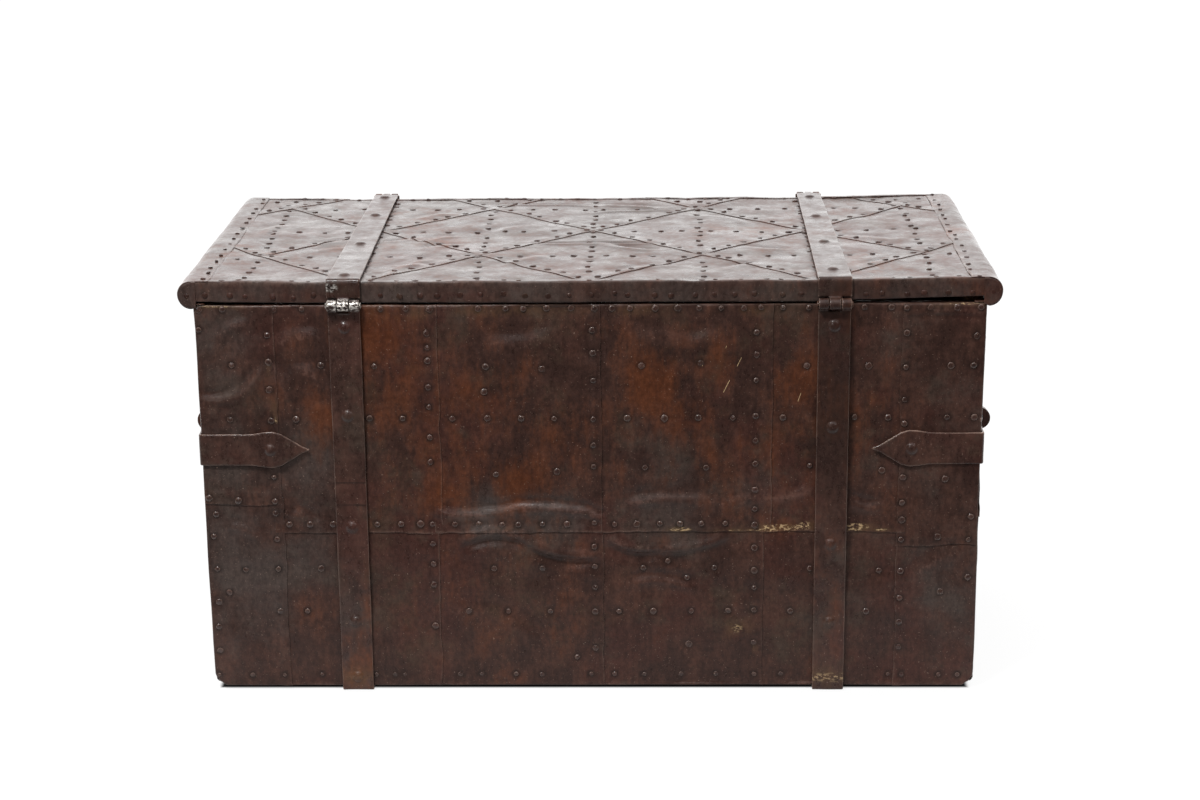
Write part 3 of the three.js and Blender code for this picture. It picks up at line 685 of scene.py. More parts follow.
# Pale colours for specks and wear; on edges, corners and fold crests they also paint a highlight
WEAR_AND_HIGHLIGHT = srgb(160, 134, 120)
CREST_WEAR_AND_HIGHLIGHT = srgb(126, 94, 84)
PALE = srgb(225, 218, 210)
OAK_DARK, OAK_LIGHT = srgb(70, 50, 34), srgb(116, 88, 62)
OAK_PORE, OAK_STAIN = srgb(48, 33, 22), srgb(66, 50, 38)
LAP_SHINE = 0.14


def iron_ground(s, place, mottle, blotch, broad, grain, tone):
    """The mottled browns, greys and rusts of waxed old iron."""
    upright = s.noise(place, 1, 4, 0.65, (110, 110, 7))
    level = s.noise(place, 1, 3, 0.6, (6, 6, 140))
    colour = s.mix(s.range(mottle, 0.38, 0.62), DARK, BROWN)
    colour = s.tint(colour, MAROON, broad, 0.5, 0.62, 0.5)
    colour = s.tint(colour, UMBER, blotch, 0.5, 0.68, 0.5)
    greyness = s.weigh((s.attribute("grey"), 0.42), (blotch, 0.9))
    colour = s.tint(colour, GREY, greyness, 0.5, 0.92, 0.85)
    rusty = s.weigh((upright, 0.2), (mottle, 0.95), (s.attribute("rust"), 0.4))
    colour = s.tint(colour, RUST, rusty, 0.64, 1.04, 0.75)
    worked = s.weigh((upright, 0.22), (level, 0.12), (blotch, 0.15), (grain, 0.7))
    return s.scaled(colour, s.range(worked, 0.42, 0.78, 0.7 * tone, 1.34 * tone))


def iron(name, tone=1.0, rough=0.38, arris=0.0, pitted=0.7, shine=0.22, scratches_and_glint=()):
    """Waxed old iron, with dark rings round the nails, ochre flakes, scratches, a painted glint and a bright
    mend, and pale edges, corners and fold crests that are partly wear and partly a painted highlight.
    """
    material, s = new_material(name)
    place = s.add("TexCoord").outputs["Object"]
    broad = s.noise(place, 6, 4, 0.6)
    mottle = s.noise(place, 24, 6, 0.7, (1, 1, 0.6))
    blotch = s.noise(place, 15, 5, 0.66)
    grain = s.noise(place, 150, 5, 0.72, (1, 1, 0.7))
    colour = iron_ground(s, place, mottle, blotch, broad, grain, tone)
    colour = s.tint(colour, WEAR_AND_HIGHLIGHT, s.noise(place, 430, 2, 0.6), 0.68, 0.74, 0.5)
    # Painted darker round the nails, along the strap joints and over the darkened parts of straps
    colour = s.mix(s.times(s.attribute("nail"), s.range(mottle, 0.3, 0.6, 0.25, 0.75)), colour, BLACK)
    # Painted highlight and wear: the edges of sheets and laps are paler
    wear_and_highlight_share = s.range(s.weigh((broad, 1), (grain, 0.6)), 0.78, 0.95, 0.02, LAP_SHINE)
    colour = s.mix(s.times(s.attribute("edge"), wear_and_highlight_share), colour, WEAR_AND_HIGHLIGHT)
    # Painted highlight and wear: fold crests are paler and warmer
    wear_and_highlight_share = s.range(s.weigh((grain, 1), (broad, 1)), 1.02, 1.16, 0.04, 0.3)
    colour = s.mix(s.times(s.attribute("crest"), wear_and_highlight_share), colour, CREST_WEAR_AND_HIGHLIGHT)
    # Painted highlight and wear: pointed corners of forged pieces are paler
    if arris:
        corner = s.range(s.add("NewGeometry").outputs["Pointiness"], 0.525, 0.58)
        colour = s.mix(s.times(corner, s.range(mottle, 0.35, 0.6, 0.15, arris)), colour, WEAR_AND_HIGHLIGHT)
    ochre = s.attribute("ochre")
    colour = s.mix(s.times(ochre, s.range(mottle, 0.4, 0.6, 0.0, 0.45)), colour, OLIVE)
    chips = s.range(s.noise(place, 170, 3, 0.6, (1, 1, 2)), 0.5, 0.56)
    colour = s.tint(colour, OCHRE, ochre, 0.5, 0.85, s.times(chips, 0.8))
    # Pale scratch marks; one of them is a painted glint
    for x0, z0, x1, z1 in scratches_and_glint:
        ends = ((x0 * MM, back_y, foot_z + z0 * MM), (x1 * MM, back_y, foot_z + z1 * MM))
        colour = s.mix(s.scratch(place, *ends), colour, OCHRE)
    mended = s.attribute("bright")
    bright = s.times(mended, s.range(s.noise(place, 210, 3, 0.6, (1, 1, 1.6)), 0.44, 0.6))
    colour = s.mix(bright, s.mix(s.times(mended, 0.8), colour, BLACK), PALE)
    hammered = s.noise(place, 42, 2, 0.5, (1, 1, 0.7))
    height = s.weigh((s.noise(place, 190, 1.5, 0.5), 0.32), (hammered, 1.1))
    bump = s.add("Bump", Strength=pitted, Distance=0.0012, Height=height).outputs[0]
    sheen = s.range(s.weigh((mottle, 1), (grain, 0.5)), 0.5, 1.05, rough - 0.12, rough + 0.14)
    shader = s.add("BsdfPrincipled", Base_Color=colour, Roughness=sheen, Normal=bump,
                   Specular_IOR_Level=shine, Metallic=s.times(bright, 0.8))
    s.add("OutputMaterial", Surface=shader.outputs[0])
    return material


def oak_wood(name, along):
    """Old oak: the grain runs along one axis."""
    material, s = new_material(name)
    place = s.add("TexCoord").outputs["Object"]
    scale = [38.0, 38.0, 38.0]
    scale["xyz".index(along)] = 2.2
    grain = s.noise(place, 1.6, 6, 0.62, tuple(scale))
    pores = s.noise(place, 1.0, 3, 0.6, tuple(c * 6 for c in scale))
    colour = s.mix(s.range(grain, 0.34, 0.68), OAK_DARK, OAK_LIGHT)
    colour = s.tint(colour, OAK_PORE, pores, 0.54, 0.7, 0.6)
    colour = s.tint(colour, OAK_STAIN, s.noise(place, 5, 3, 0.6), 0.45, 0.7, 0.4)
    height = s.weigh((grain, 0.6), (pores, -0.5))
    bump = s.add("Bump", Strength=0.5, Distance=0.001, Height=height).outputs[0]
    sheen = s.range(grain, 0.3, 0.7, 0.62, 0.8)
    shader = s.add("BsdfPrincipled", Base_Color=colour, Roughness=sheen, Normal=bump)
    s.add("OutputMaterial", Surface=shader.outputs[0])
    return material


back_y, foot_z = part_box("back_board")[0].yz
sheet_iron = iron("sheet_iron", tone=0.97, scratches_and_glint=SCRATCHES_AND_GLINT)
lid_iron = iron("lid_iron", rough=0.36)
strap_iron = iron("strap_iron", rough=0.34, arris=0.95, pitted=0.5, shine=0.3)
fitting_iron = iron("fitting_iron", tone=0.95, rough=0.34, arris=0.8, pitted=0.5, shine=0.35)
nail_iron = iron("nail_iron", tone=0.85, rough=0.27, arris=0.2, pitted=0.4, shine=0.5)
lid_nail_iron = iron("lid_nail_iron", tone=0.75, rough=0.38, pitted=0.4, shine=0.2)
oak = {axis: oak_wood("oak_along_" + axis, axis) for axis in "xyz"}


# Walls
class Wall:
    """One side clad in sheets: its relief is shared by its sheets and its nails."""

    def __init__(self, face, nails, folds, ends, seed=0, sheets=(), zones=None):
        self.face, self.nails, self.folds, self.ends = face, nails, folds, ends
        self.seed, self.sheets, self.zones = seed, sheets, zones

    def beaten(self, u, v, dented, lowest, highest):
        """Dents, folds and the pull of the nails, the distance to a nail, and the crests, which are painted
        pale as wear and a painted highlight.
        """
        folded, crest = fold_relief(u, v, self.folds)
        away = nearest_nail(u, v, self.nails)
        pull = NAIL_PULL * np.exp(-((away / PULL_WIDTH) ** 2))
        return np.clip(dented + folded - pull, lowest, highest), away, crest

    def relief(self, u, v):
        return self.beaten(u, v, dents(u, v, self.seed), -DENT_DEPTH, FOLD_RISE)

    def lift(self, sheet, u, v):
        """How far a sheet stands off where it laps over its neighbours."""
        (u0, u1), (v0, _) = sheet["u"], sheet["v"]
        total = np.zeros_like(u)
        for side, inner in (("left", u - u0), ("right", u1 - u)):
            if side in sheet["over"]:
                total = np.maximum(total, 1 - ramp(inner, *LAP_SLOPE))
        if "low" in sheet["over"]:
            total = np.maximum(total, ROW_LAP_SHARE * (1 - ramp(v - v0, *ROW_LAP_SLOPE)))
        return total * LAP_RISE

    def surface(self, u, v):
        """How far out the topmost sheet lies at each nail."""
        lifts = np.zeros_like(u)
        for sheet in self.sheets:
            (u0, u1), (v0, v1) = sheet["u"], sheet["v"]
            inside = (u >= u0) & (u <= u1) & (v >= v0) & (v <= v1)
            lifts = np.maximum(lifts, inside * self.lift(sheet, u, v))
        return self.face.level + self.relief(u, v)[0] + lifts


def at_edges(t, low, high):
    """1 at the ends of a sheet, 0 well inside it."""
    return np.where(t - low < high - t, 1 - ramp(t - low, 0, WAVE_REACH), ramp(t - high, -WAVE_REACH, 0))


def waved(wall, sheet, u, v):
    """Places on a sheet with its free edges made uneven."""
    (u0, u1), (v0, v1) = sheet["u"], sheet["v"]
    seed = wall.seed + 10 * sheet["number"]
    free_u = np.abs(u) < wall.ends[1] - CORNER_STAY
    free_v = "low" not in sheet["bends"] or v > v0 + FOOT_STAY
    waved_u = u + at_edges(u, u0, u1) * edge_wave(v, seed + 5) * free_u
    return waved_u, v + at_edges(v, v0, v1) * edge_wave(u, seed + 7) * free_v


def worn_corners(wall, sheet, u, v, pu, pv):
    """The sheet's outline drawn in at the upright corners and the foot of the chest."""
    (u0, u1), (v0, _) = sheet["u"], sheet["v"]
    middle, half = np.mean(wall.ends), np.ptp(wall.ends) / 2
    near_end = ramp(np.abs(pu - middle), half - CORNER_REACH, half)
    near_end *= 1 - ramp(pv, chest_top - 2 * CORNER_REACH, chest_top)
    near_foot = 1 - ramp(pv, v0, v0 + CORNER_REACH) if "low" in sheet["bends"] else 0 * pv
    dent = CORNER_DENT * (0.5 + 0.5 * noise(v, 0 * v, 0.09, wall.seed + 31 + (u0 + u1 > 0)))
    rise = FOOT_DENT * (0.5 + 0.5 * noise(u, 0 * u, 0.11, wall.seed + 33))
    drawn_in = near_end * (dent + FOOT_ROUND * near_foot)
    return pu - np.sign(pu - middle) * drawn_in, pv + near_foot * (rise + FOOT_ROUND * near_end)


def wall_sheet(wall, sheet):
    """A sheet of a wall as a thin closed mesh, with bent ends where it meets a corner of the chest."""
    (u0, u1), (v0, v1), bends = sheet["u"], sheet["v"], sheet["bends"]
    us = stations(u0, u1, GRID_STEP, "left" in bends, "right" in bends)
    vs = stations(v0, v1, GRID_STEP, "low" in bends, "high" in bends)
    u, v = np.meshgrid(us, vs, indexing="ij")
    relief, away, crest = wall.relief(u, v)
    waved_u, waved_v = waved(wall, sheet, u, v)
    ends = wall.ends if {"left", "right"} & bends else (u0 - 1, u1 + 1)
    pu, drop_u, lean_u, face_u = bent(waved_u, *ends)
    foot, top = v0 - ("low" not in bends), v1 + ("high" not in bends)
    pv, drop_v, lean_v, face_v = bent(waved_v, foot, top)
    flat = np.minimum(face_u, face_v)
    w = (relief + wall.lift(sheet, u, v)) * flat + (1 - flat) * BEND_LIFT
    pu, pv = worn_corners(wall, sheet, u, v, pu, pv)
    out = wall.face.level - drop_u - drop_v + w * face_u * face_v
    points = wall.face.place(pu + w * lean_u, pv + w * lean_v, out)
    folded_twice = (drop_u > BEND) & (drop_v > BEND)
    folded_twice = folded_twice[:-1, :-1] | folded_twice[1:, 1:]
    name = sheet["node"] + "_iron"
    mesh = mesh_from(name, points, grid_faces(len(us), len(vs), ~folded_twice))
    inner = np.minimum.reduce([2 * abs(u - u0), 2 * abs(u1 - u), abs(v - v0), abs(v1 - v)])
    rust, grey, ochre = wall.zones(u, v)
    tone = np.random.default_rng(wall.seed + 10 * sheet["number"]).uniform(-0.12, 0.12)
    # edge and crest are painted pale, partly as wear and partly as a painted highlight
    paint(mesh, edge=1 - ramp(inner, 0, EDGE_SHINE), crest=crest,
          nail=1 - ramp(away, CLOUT_RADIUS, NAIL_DARK_RING), rust=rust + tone, grey=grey - tone, ochre=ochre)
    piece = new_piece(name, mesh, "chest", sheet_iron)
    thicken(piece)
    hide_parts(sheet["node"])


def spaced(start, end, spacing, jitter, draw):
    """Places from start to end at about a spacing, each moved a little."""
    count = max(2, int(round((end - start) / spacing)) + 1)
    return np.linspace(start, end, count) + draw.normal(0, jitter, count)


def nail_row(draw, level, wobble, start, end, spacing, jitter):
    """Nails along a line at a level; the wobble of the line, the spacing and its jitter are in mm."""
    row = spaced(start, end, spacing * MM, jitter * MM, draw)
    return [(t, level + draw.normal(0, wobble * MM)) for t in row]


def nail_column(*line):
    """The same, up the wall or across the lid."""
    return [(level, t) for t, level in nail_row(*line)]


def back_nails():
    found = [(x, z) for x, levels in COLUMN_NAILS.items() for z in levels]
    found += [(x, z) for z, places in ROW_NAILS.items() for x in places]
    return [(x * MM, chest_foot + z * MM) for x, z in found + STRAY_NAILS]


def regular_nails(sheets, seed):
    """Rows along every edge and lap of a wall whose nails aren't listed."""
    draw = np.random.default_rng(seed)
    left, right = min(s["u"][0] for s in sheets), max(s["u"][1] for s in sheets)
    rows = [(chest_foot + height * MM, spacing) for height, spacing in WALL_ROWS]
    found = []
    for level, spacing in [*rows, (chest_top - TOP_ROW_DROP, TOP_ROW_SPACING)]:
        found += nail_row(draw, level, 2, left + ROW_INSET, right - ROW_INSET, spacing, 5)
    for sheet in sheets:
        (u0, u1), (v0, v1) = sheet["u"], sheet["v"]
        if "low" in sheet["over"]:
            found += nail_row(draw, v0 + ROW_INSET, 1.5, u0 + 14 * MM, u1 - 14 * MM, 37, 4)
        for side, u in (("left", u0 + ROW_INSET), ("right", u1 - ROW_INSET)):
            if side in sheet["over"]:
                found += nail_column(draw, u, 1.5, v0 + 30 * MM, v1 - 40 * MM, 42, 5)
    for u in (left + COLUMN_INSET, right - COLUMN_INSET):
        found += nail_column(draw, u, 1.5, chest_foot + 50 * MM, chest_top - 45 * MM, 50, 5)
    return found + nail_row(draw, chest_foot + LOOSE_ROW_HEIGHT, 4, left + 60 * MM, right - 60 * MM, 90, 10)


def hand_placed(u, v):
    """Rust, grey and ochre of the back wall, from the photo's large patches; the grey under the folds above
    the seam is a painted sheen, and the ochre on the top rim near the ends partly a painted highlight.
    """
    return (
        zone_weight(u, v - chest_foot, RUST_ZONES) + 0.18 * noise(u, v, 0.06, 71),
        zone_weight(u, v - chest_foot, GREY_AND_SHEEN_ZONES) + 0.15 * noise(u, v, 0.09, 73),
        zone_weight(u, v - chest_foot, OCHRE_AND_RIM_HIGHLIGHT_ZONES),
    )


def scattered(seed):
    def zones(u, v):
        rust = np.clip(0.1 + layered(u, v, seed, (0.6, 0.16), (0.2, 0.05)), 0, 1)
        ochre = 0.5 * patches(u, v, 0, 1, 0.07, seed + 3) * ramp(v, chest_top - 30 * MM, chest_top)
        return rust, patches(u, v, 0.3, 0.7, 0.2, seed + 2), ochre
    return zones


def sheet_name(wall, column, row, columns):
    return f"{wall}_sheet_{column}_{row}" if columns > 1 else f"{wall}_sheet_{row}"


def column_span(span, place, overs):
    """Where a column of sheets starts and ends with its laps, and the sides where it lies over the next."""
    (u0, u1), over = span, set()
    if place > 0:
        if overs[place - 1] == "right":
            over.add("left")
        else:
            u0 -= LAP_UNDER
    if place < len(overs):
        if overs[place] == "left":
            over.add("right")
        else:
            u1 += LAP_UNDER
    return u0, u1, over


def wall_sheets(name, probe, boxes, overs, reaches, top):
    """What each sheet of a wall covers, and how it meets its neighbours and the corners."""
    columns, corner, sheets = len(boxes), name in ("back", "front"), []
    for place, i in enumerate(sorted(range(columns), key=lambda i: boxes[i][0][0])):
        u0, u1, over = column_span(boxes[i][0], place, overs)
        seam = probe.box(sheet_name(name, i + 1, "upper", columns))[1][0]
        bends = {"left"} if corner and place == 0 else set()
        bends |= {"right"} if corner and place == columns - 1 else set()
        for row, v0, v1 in (("lower", chest_foot, seam + LAP_UNDER), ("upper", seam, top)):
            shift, reach = (reaches.get((seam_at, row), 0) * MM for seam_at in (place - 1, place))
            sheets.append({
                "node": sheet_name(name, i + 1, row, columns), "number": 2 * i + (row == "upper"),
                "u": (u0 + shift, u1 + reach), "v": (v0, v1),
                "over": over | ({"low"} if row == "upper" else set()),
                "bends": bends | ({"high"} if row == "upper" else {"low"}),
            })
    return sheets


def clad(name, up, out, overs, seed, folds=(), listed=False):
    """Makes the sheets and the nail heads of one wall."""
    columns, probe = len(overs) + 1, Face(up, out, 0)
    boxes = [probe.box(sheet_name(name, column + 1, "lower", columns)) for column in range(columns)]
    face = Face(up, out, max(box[2][1] for box in boxes))
    ends = (min(box[0][0] for box in boxes) - 1 * MM, max(box[0][1] for box in boxes) + 1 * MM)
    top = chest_top + (0 if name in ("back", "front") else END_LIP)
    sheets = wall_sheets(name, probe, boxes, overs, SEAM_REACH if listed else {}, top)
    nails = back_nails() if listed else regular_nails(sheets, seed)
    wall = Wall(face, nails, folds, ends, seed, sheets, hand_placed if listed else scattered(seed))
    for sheet in sheets:
        u0, u1 = sheet["u"]
        left, right = (side in sheet["bends"] for side in ("left", "right"))
        sheet["u"] = (ends[0] if left else u0, ends[1] if right else u1)
        wall_sheet(wall, sheet)
    u, v = np.array(nails).T
    places = zip(u, v, wall.surface(u, v), np.where(v < FAINT_BELOW, FAINT_NAIL, 1.0))
    clout_heads(name + "_clouts", face, places, CLOUT_RADIUS, CLOUT_HEIGHT,
                "chest", nail_iron, seed)


chest_low, chest_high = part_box("back_board")
chest_foot, chest_top = chest_low.z, chest_high.z
clad("back", Z, -Y, ["left", "left", "left", "left", "right"], 11, FOLDS, True)
clad("front", Z, Y, ["left", "right"], 211)
clad("left_end", Z, -X, [], 311)
clad("right_end", Z, X, [], 411)


# Lid
lid_low, lid_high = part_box("lid_top_sheet")
lid_seam = abs(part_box("left_lid_end_sheet")[1].x)
lid_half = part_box("lid_panel")[1].x


def lattice_place(u, v):
    """Lattice coordinates on the lid: whole numbers lie on the laps, and both grow towards the front."""
    a, b = u / LOZENGE_X, (v - lid_low.y) / LOZENGE_Y
    return (b + a) / 2, (b - a) / 2


def sheet_cell(u, v):
    """The near corner, in lattice coordinates, of the lid sheet that a place lies on."""
    cell = tuple(math.floor(t) for t in lattice_place(u, v))
    return CORNER_SHEETS.get(cell, cell)


def from_laps(u, v, cells):
    """How far a place lies from the near edges of its lozenge."""
    (a, b), (cell_a, cell_b) = lattice_place(u, v), cells
    return np.minimum(a - cell_a, b - cell_b) * LOZENGE_SIDE


def lozenge_lift(u, v, cells):
    return LATTICE_LAP * (1 - ramp(from_laps(u, v, cells), *LATTICE_SLOPE))


def warp(x):
    """How much higher the lid lies at a place along it."""
    return np.where(x > 0, WARP_RIGHT, WARP_LEFT) * ramp(np.abs(x), *WARP_SPAN)


def nose_drop(x, below):
    """How far a rolled end hangs back from the warp, just outside the end wall; below is 1 at its foot."""
    hang = NOSE_HANG + NOSE_STAY * warp(x)
    return hang * np.sqrt(np.clip(below, 0, 1)) * ramp(np.abs(x), *NOSE_SPAN)


def pinch(x):
    """How much thinner the lid is, from below, at a place along it."""
    return PINCH * ramp(x, *PINCH_SPAN)


def arris_wave(x):
    """The uneven line along which the top of the lid turns down."""
    return layered(x, 0 * x, 83, *ARRIS_WAVES, step=2) - ARRIS_SINK


def lid_dents(u, v):
    """Dents of the lid, longer from end to end than across it."""
    long = layered(0.6 * u, v, 91, *LID_DENTS_LONG, step=2)
    return long + layered(u, v, 95, *LID_DENTS_ROUND, step=2) - LID_DENT_SINK


class Lid(Wall):
    """The top of the lid, where the sheets are lozenges; its ends are its back and front edges."""

    def relief(self, u, v):
        relief, away, crest = self.beaten(u, v, lid_dents(u, v), -LID_DENT_DEPTH, LID_FOLD_RISE)
        relief *= 1 - ramp(np.abs(u), lid_seam - LID_SEAM_REACH, lid_seam)
        edge = 1 - ramp(np.minimum(v - self.ends[0], self.ends[1] - v), 0, LID_EDGE_REACH)
        return relief * (1 - edge) + edge * arris_wave(u), away, crest

    def surface(self, u, v):
        cells = np.array([sheet_cell(*place) for place in zip(u, v)]).T
        return self.face.level + self.relief(u, v)[0] + lozenge_lift(u, v, cells) + warp(u)


def lid_nails():
    """Nails along the laps, through the crossings and round the border of the lid."""
    draw = np.random.default_rng(501)
    way = np.array((LOZENGE_X, LOZENGE_Y)) / LOZENGE_SIDE
    back, front = lid_low.y, lid_high.y
    found = []
    for sign in (1, -1):
        for k in LATTICE_LINES:
            origin = np.array((0.0, back + 2 * k * LOZENGE_Y + LATTICE_NAIL_OFFSET))
            for t in spaced(-LATTICE_REACH, LATTICE_REACH, 36 * MM, 4 * MM, draw):
                found.append(origin + np.array((sign * way[0], way[1])) * t + draw.normal(0, 1.5 * MM, 2))
    for k in range(4):
        found += nail_row(draw, back + k * LOZENGE_Y, 2, lid_low.x, lid_high.x, 41, 4)
    for k in range(-3, 4):
        found += nail_column(draw, k * LOZENGE_X, 2, back, front, 33, 4)
    kept = []
    for u, v in found:
        inside = abs(u) < lid_seam - 6 * MM and back + 14 * MM < v < front - 14 * MM
        if inside and all((u - a) ** 2 + (v - b) ** 2 > LID_NAIL_GAP**2 for a, b in kept):
            kept.append((u, v))
    for side in (-1, 1):
        column = nail_column(draw, lid_seam + 9 * MM, 1.5, back + 12 * MM, front - 12 * MM, 38, 4)
        kept += [(side * u, v) for u, v in column]
    for level in (back + 9 * MM, front - 9 * MM):
        kept += nail_row(draw, level, 1, lid_low.x + 20 * MM, lid_high.x - 20 * MM, 31, 4)
    return kept


def part_lozenges(work):
    """Cuts a grid along the laps of the lid, and gives the cell that each point belongs to."""
    for sign in (1, -1):
        for k in LATTICE_LINES:
            through = Vector((0, lid_low.y + 2 * k * LOZENGE_Y, 0))
            cut(work, through, Vector((1 / LOZENGE_X, sign / LOZENGE_Y, 0)))
    cells = {f: sheet_cell(*f.calc_center_median().xy) for f in work.faces}
    laps = [e for e in work.edges if len({cells[f] for f in e.link_faces}) == 2]
    bmesh.ops.split_edges(work, edges=laps)
    owners = []
    for vertex in work.verts:
        centre = sum((f.calc_center_median() for f in vertex.link_faces), Vector()) / len(vertex.link_faces)
        owners.append(sheet_cell(*centre.xy))
    return np.array(owners, float).T


def lid_top():
    """The top sheets: one grid cut along the laps, each lozenge over its neighbours at its near edges."""
    face = Face(Y, Z, lid_high.z - LID_SINK)
    nails = lid_nails()
    lid = Lid(face, nails, LID_FOLDS, (lid_low.y, lid_high.y))
    columns, rows = (int((high - low) / GRID_STEP) for low, high in zip(lid_low.xy, lid_high.xy))
    us = np.linspace(lid_low.x - 1 * MM, lid_high.x + 1 * MM, columns)
    vs = np.linspace(lid_low.y + 1 * MM, lid_high.y - 1 * MM, rows)
    u, v = np.meshgrid(us, vs, indexing="ij")
    mesh = mesh_from("lid_lozenges", face.place(u, v, face.level), grid_faces(columns, rows))
    work = bmesh.new()
    work.from_mesh(mesh)
    cells = part_lozenges(work)
    u, v = np.array([vertex.co.xy for vertex in work.verts]).T
    relief, away, crest = lid.relief(u, v)
    heights = face.level + relief + lozenge_lift(u, v, cells) + warp(u)
    for vertex, height in zip(work.verts, heights):
        vertex.co.z = height
    finished(work, mesh)
    # edge and crest are painted pale, partly as wear and partly as a painted highlight
    paint(mesh, edge=1 - ramp(from_laps(u, v, cells), 0, EDGE_SHINE), crest=crest,
          nail=1 - ramp(away, LID_NAIL_RADIUS, NAIL_DARK_RING),
          rust=patches(u, v, 0.05, 0.5, 0.12, 99), grey=patches(u, v, 0.5, 0.5, 0.17, 101))
    piece = new_piece("lid_lozenges", mesh, "lid", lid_iron)
    thicken(piece, LOZENGE_THICKNESS)
    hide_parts("lid_top_sheet")
    u, v = np.array(nails).T
    on_ends = abs(u) > lid_seam
    levels = np.where(on_ends, lid_high.z + STRIP_RISE + warp(u), lid.surface(u, v))
    places = zip(u, v, levels, np.where(on_ends, FAINT_NAIL, 1.0))
    clout_heads("lid_clouts", face, places, LID_NAIL_RADIUS, LID_NAIL_HEIGHT,
                "lid", lid_nail_iron, 503)


def lid_end(side):
    """The sheet wrapped round one bullnose end of the lid."""
    node = f"{side}_lid_end_sheet"
    low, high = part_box(node)
    sign = -1 if side == "left" else 1
    inner, outer = sorted((abs(low.x), abs(high.x)))
    radius, middle = (high.z - low.z) / 2, (high.z + low.z) / 2
    under = min(abs(corner.x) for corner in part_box(f"{side}_lid_cleat"))
    flat_top = np.linspace(inner, outer - radius, 12)
    turn = np.linspace(0, math.pi, 26)[1:]
    flat_low = np.linspace(outer - radius, under, 5)[1:]
    angle = np.concatenate([0 * flat_top, turn, 0 * flat_low + math.pi])
    xs = np.concatenate([flat_top, outer - radius + radius * np.sin(turn), flat_low])
    zs = middle + radius * np.cos(angle)
    run = np.concatenate([[0], np.cumsum(np.hypot(np.diff(xs), np.diff(zs)))])
    ys = stations(low.y + END_SHEET_INSET, high.y - END_SHEET_INSET, GRID_STEP)
    s, y = np.meshgrid(run, ys, indexing="ij")
    seed = 601 + 10 * (side == "right")
    w = np.minimum(layered(s, y, seed, *END_SHEET_DENTS) - END_SHEET_SINK, END_SHEET_TOP) + END_SHEET_LAP
    wave = edge_wave(y, seed + 3) * (1 - ramp(s, 0, END_WAVE_REACH))
    x = sign * (xs[:, None] + wave + w * np.sin(angle)[:, None])
    z = zs - nose_drop(sign * xs, (middle - zs) / radius)
    points = np.stack([x, y, z[:, None] + w * np.cos(angle)[:, None] + warp(x)], -1)
    mesh = mesh_from(node + "_iron", points, grid_faces(len(run), len(ys))[:, ::sign])
    # The inner edge is painted pale, partly as wear and partly as a painted highlight
    paint(mesh, edge=1 - ramp(s, 0, EDGE_SHINE), rust=patches(s, y, 0.1, 0.6, 0.1, seed + 4),
          grey=patches(s, y, 0.5, 0.5, 0.15, seed + 5))
    piece = new_piece(node + "_iron", mesh, "lid", lid_iron)
    thicken(piece, END_SHEET_THICKNESS)
    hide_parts(node)


def nose_cap(face, sign, seed):
    """The flat cap on one rolled end of an edge strip: its points, its faces, and where its rim is."""
    low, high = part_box("right_lid_end_sheet")
    radius = (high.z - low.z) / 2 - CAP_INSET
    centre_x, centre_z = high.x - radius, (high.z + low.z) / 2
    turn = np.linspace(0, math.pi / 2, 13)
    xs = np.linspace(lid_half - CAP_REACH, centre_x, 9)[:-1]
    xs = np.concatenate([xs, centre_x + radius * np.sin(turn)])
    beyond = np.maximum(xs - centre_x, 0)
    reach = np.sqrt(np.maximum(radius**2 - beyond**2, 0))[:, None]
    x, share = np.meshgrid(xs, np.linspace(-1, 1, 19), indexing="ij")
    rise = share * reach
    rim = np.minimum(reach * (1 - np.abs(share)), radius - np.hypot(beyond[:, None], rise))
    rim = np.clip(rim, 0, CAP_ROUND)
    drop = CAP_ROUND - np.sqrt(np.maximum(CAP_ROUND**2 - (CAP_ROUND - rim) ** 2, 0))
    drop *= ramp(x - lid_half, *CAP_FLAT)
    out_by = face.level + CAP_PROUD - drop + CAP_DENT * noise(x, centre_z + rise, 0.02, seed + 5)
    lid_x = sign * x * face.along.x
    z = centre_z + rise - nose_drop(lid_x, -rise / radius) + warp(lid_x)
    return face.place(sign * x, z, out_by), grid_faces(*x.shape)[:, ::sign], rim < CAP_RIM


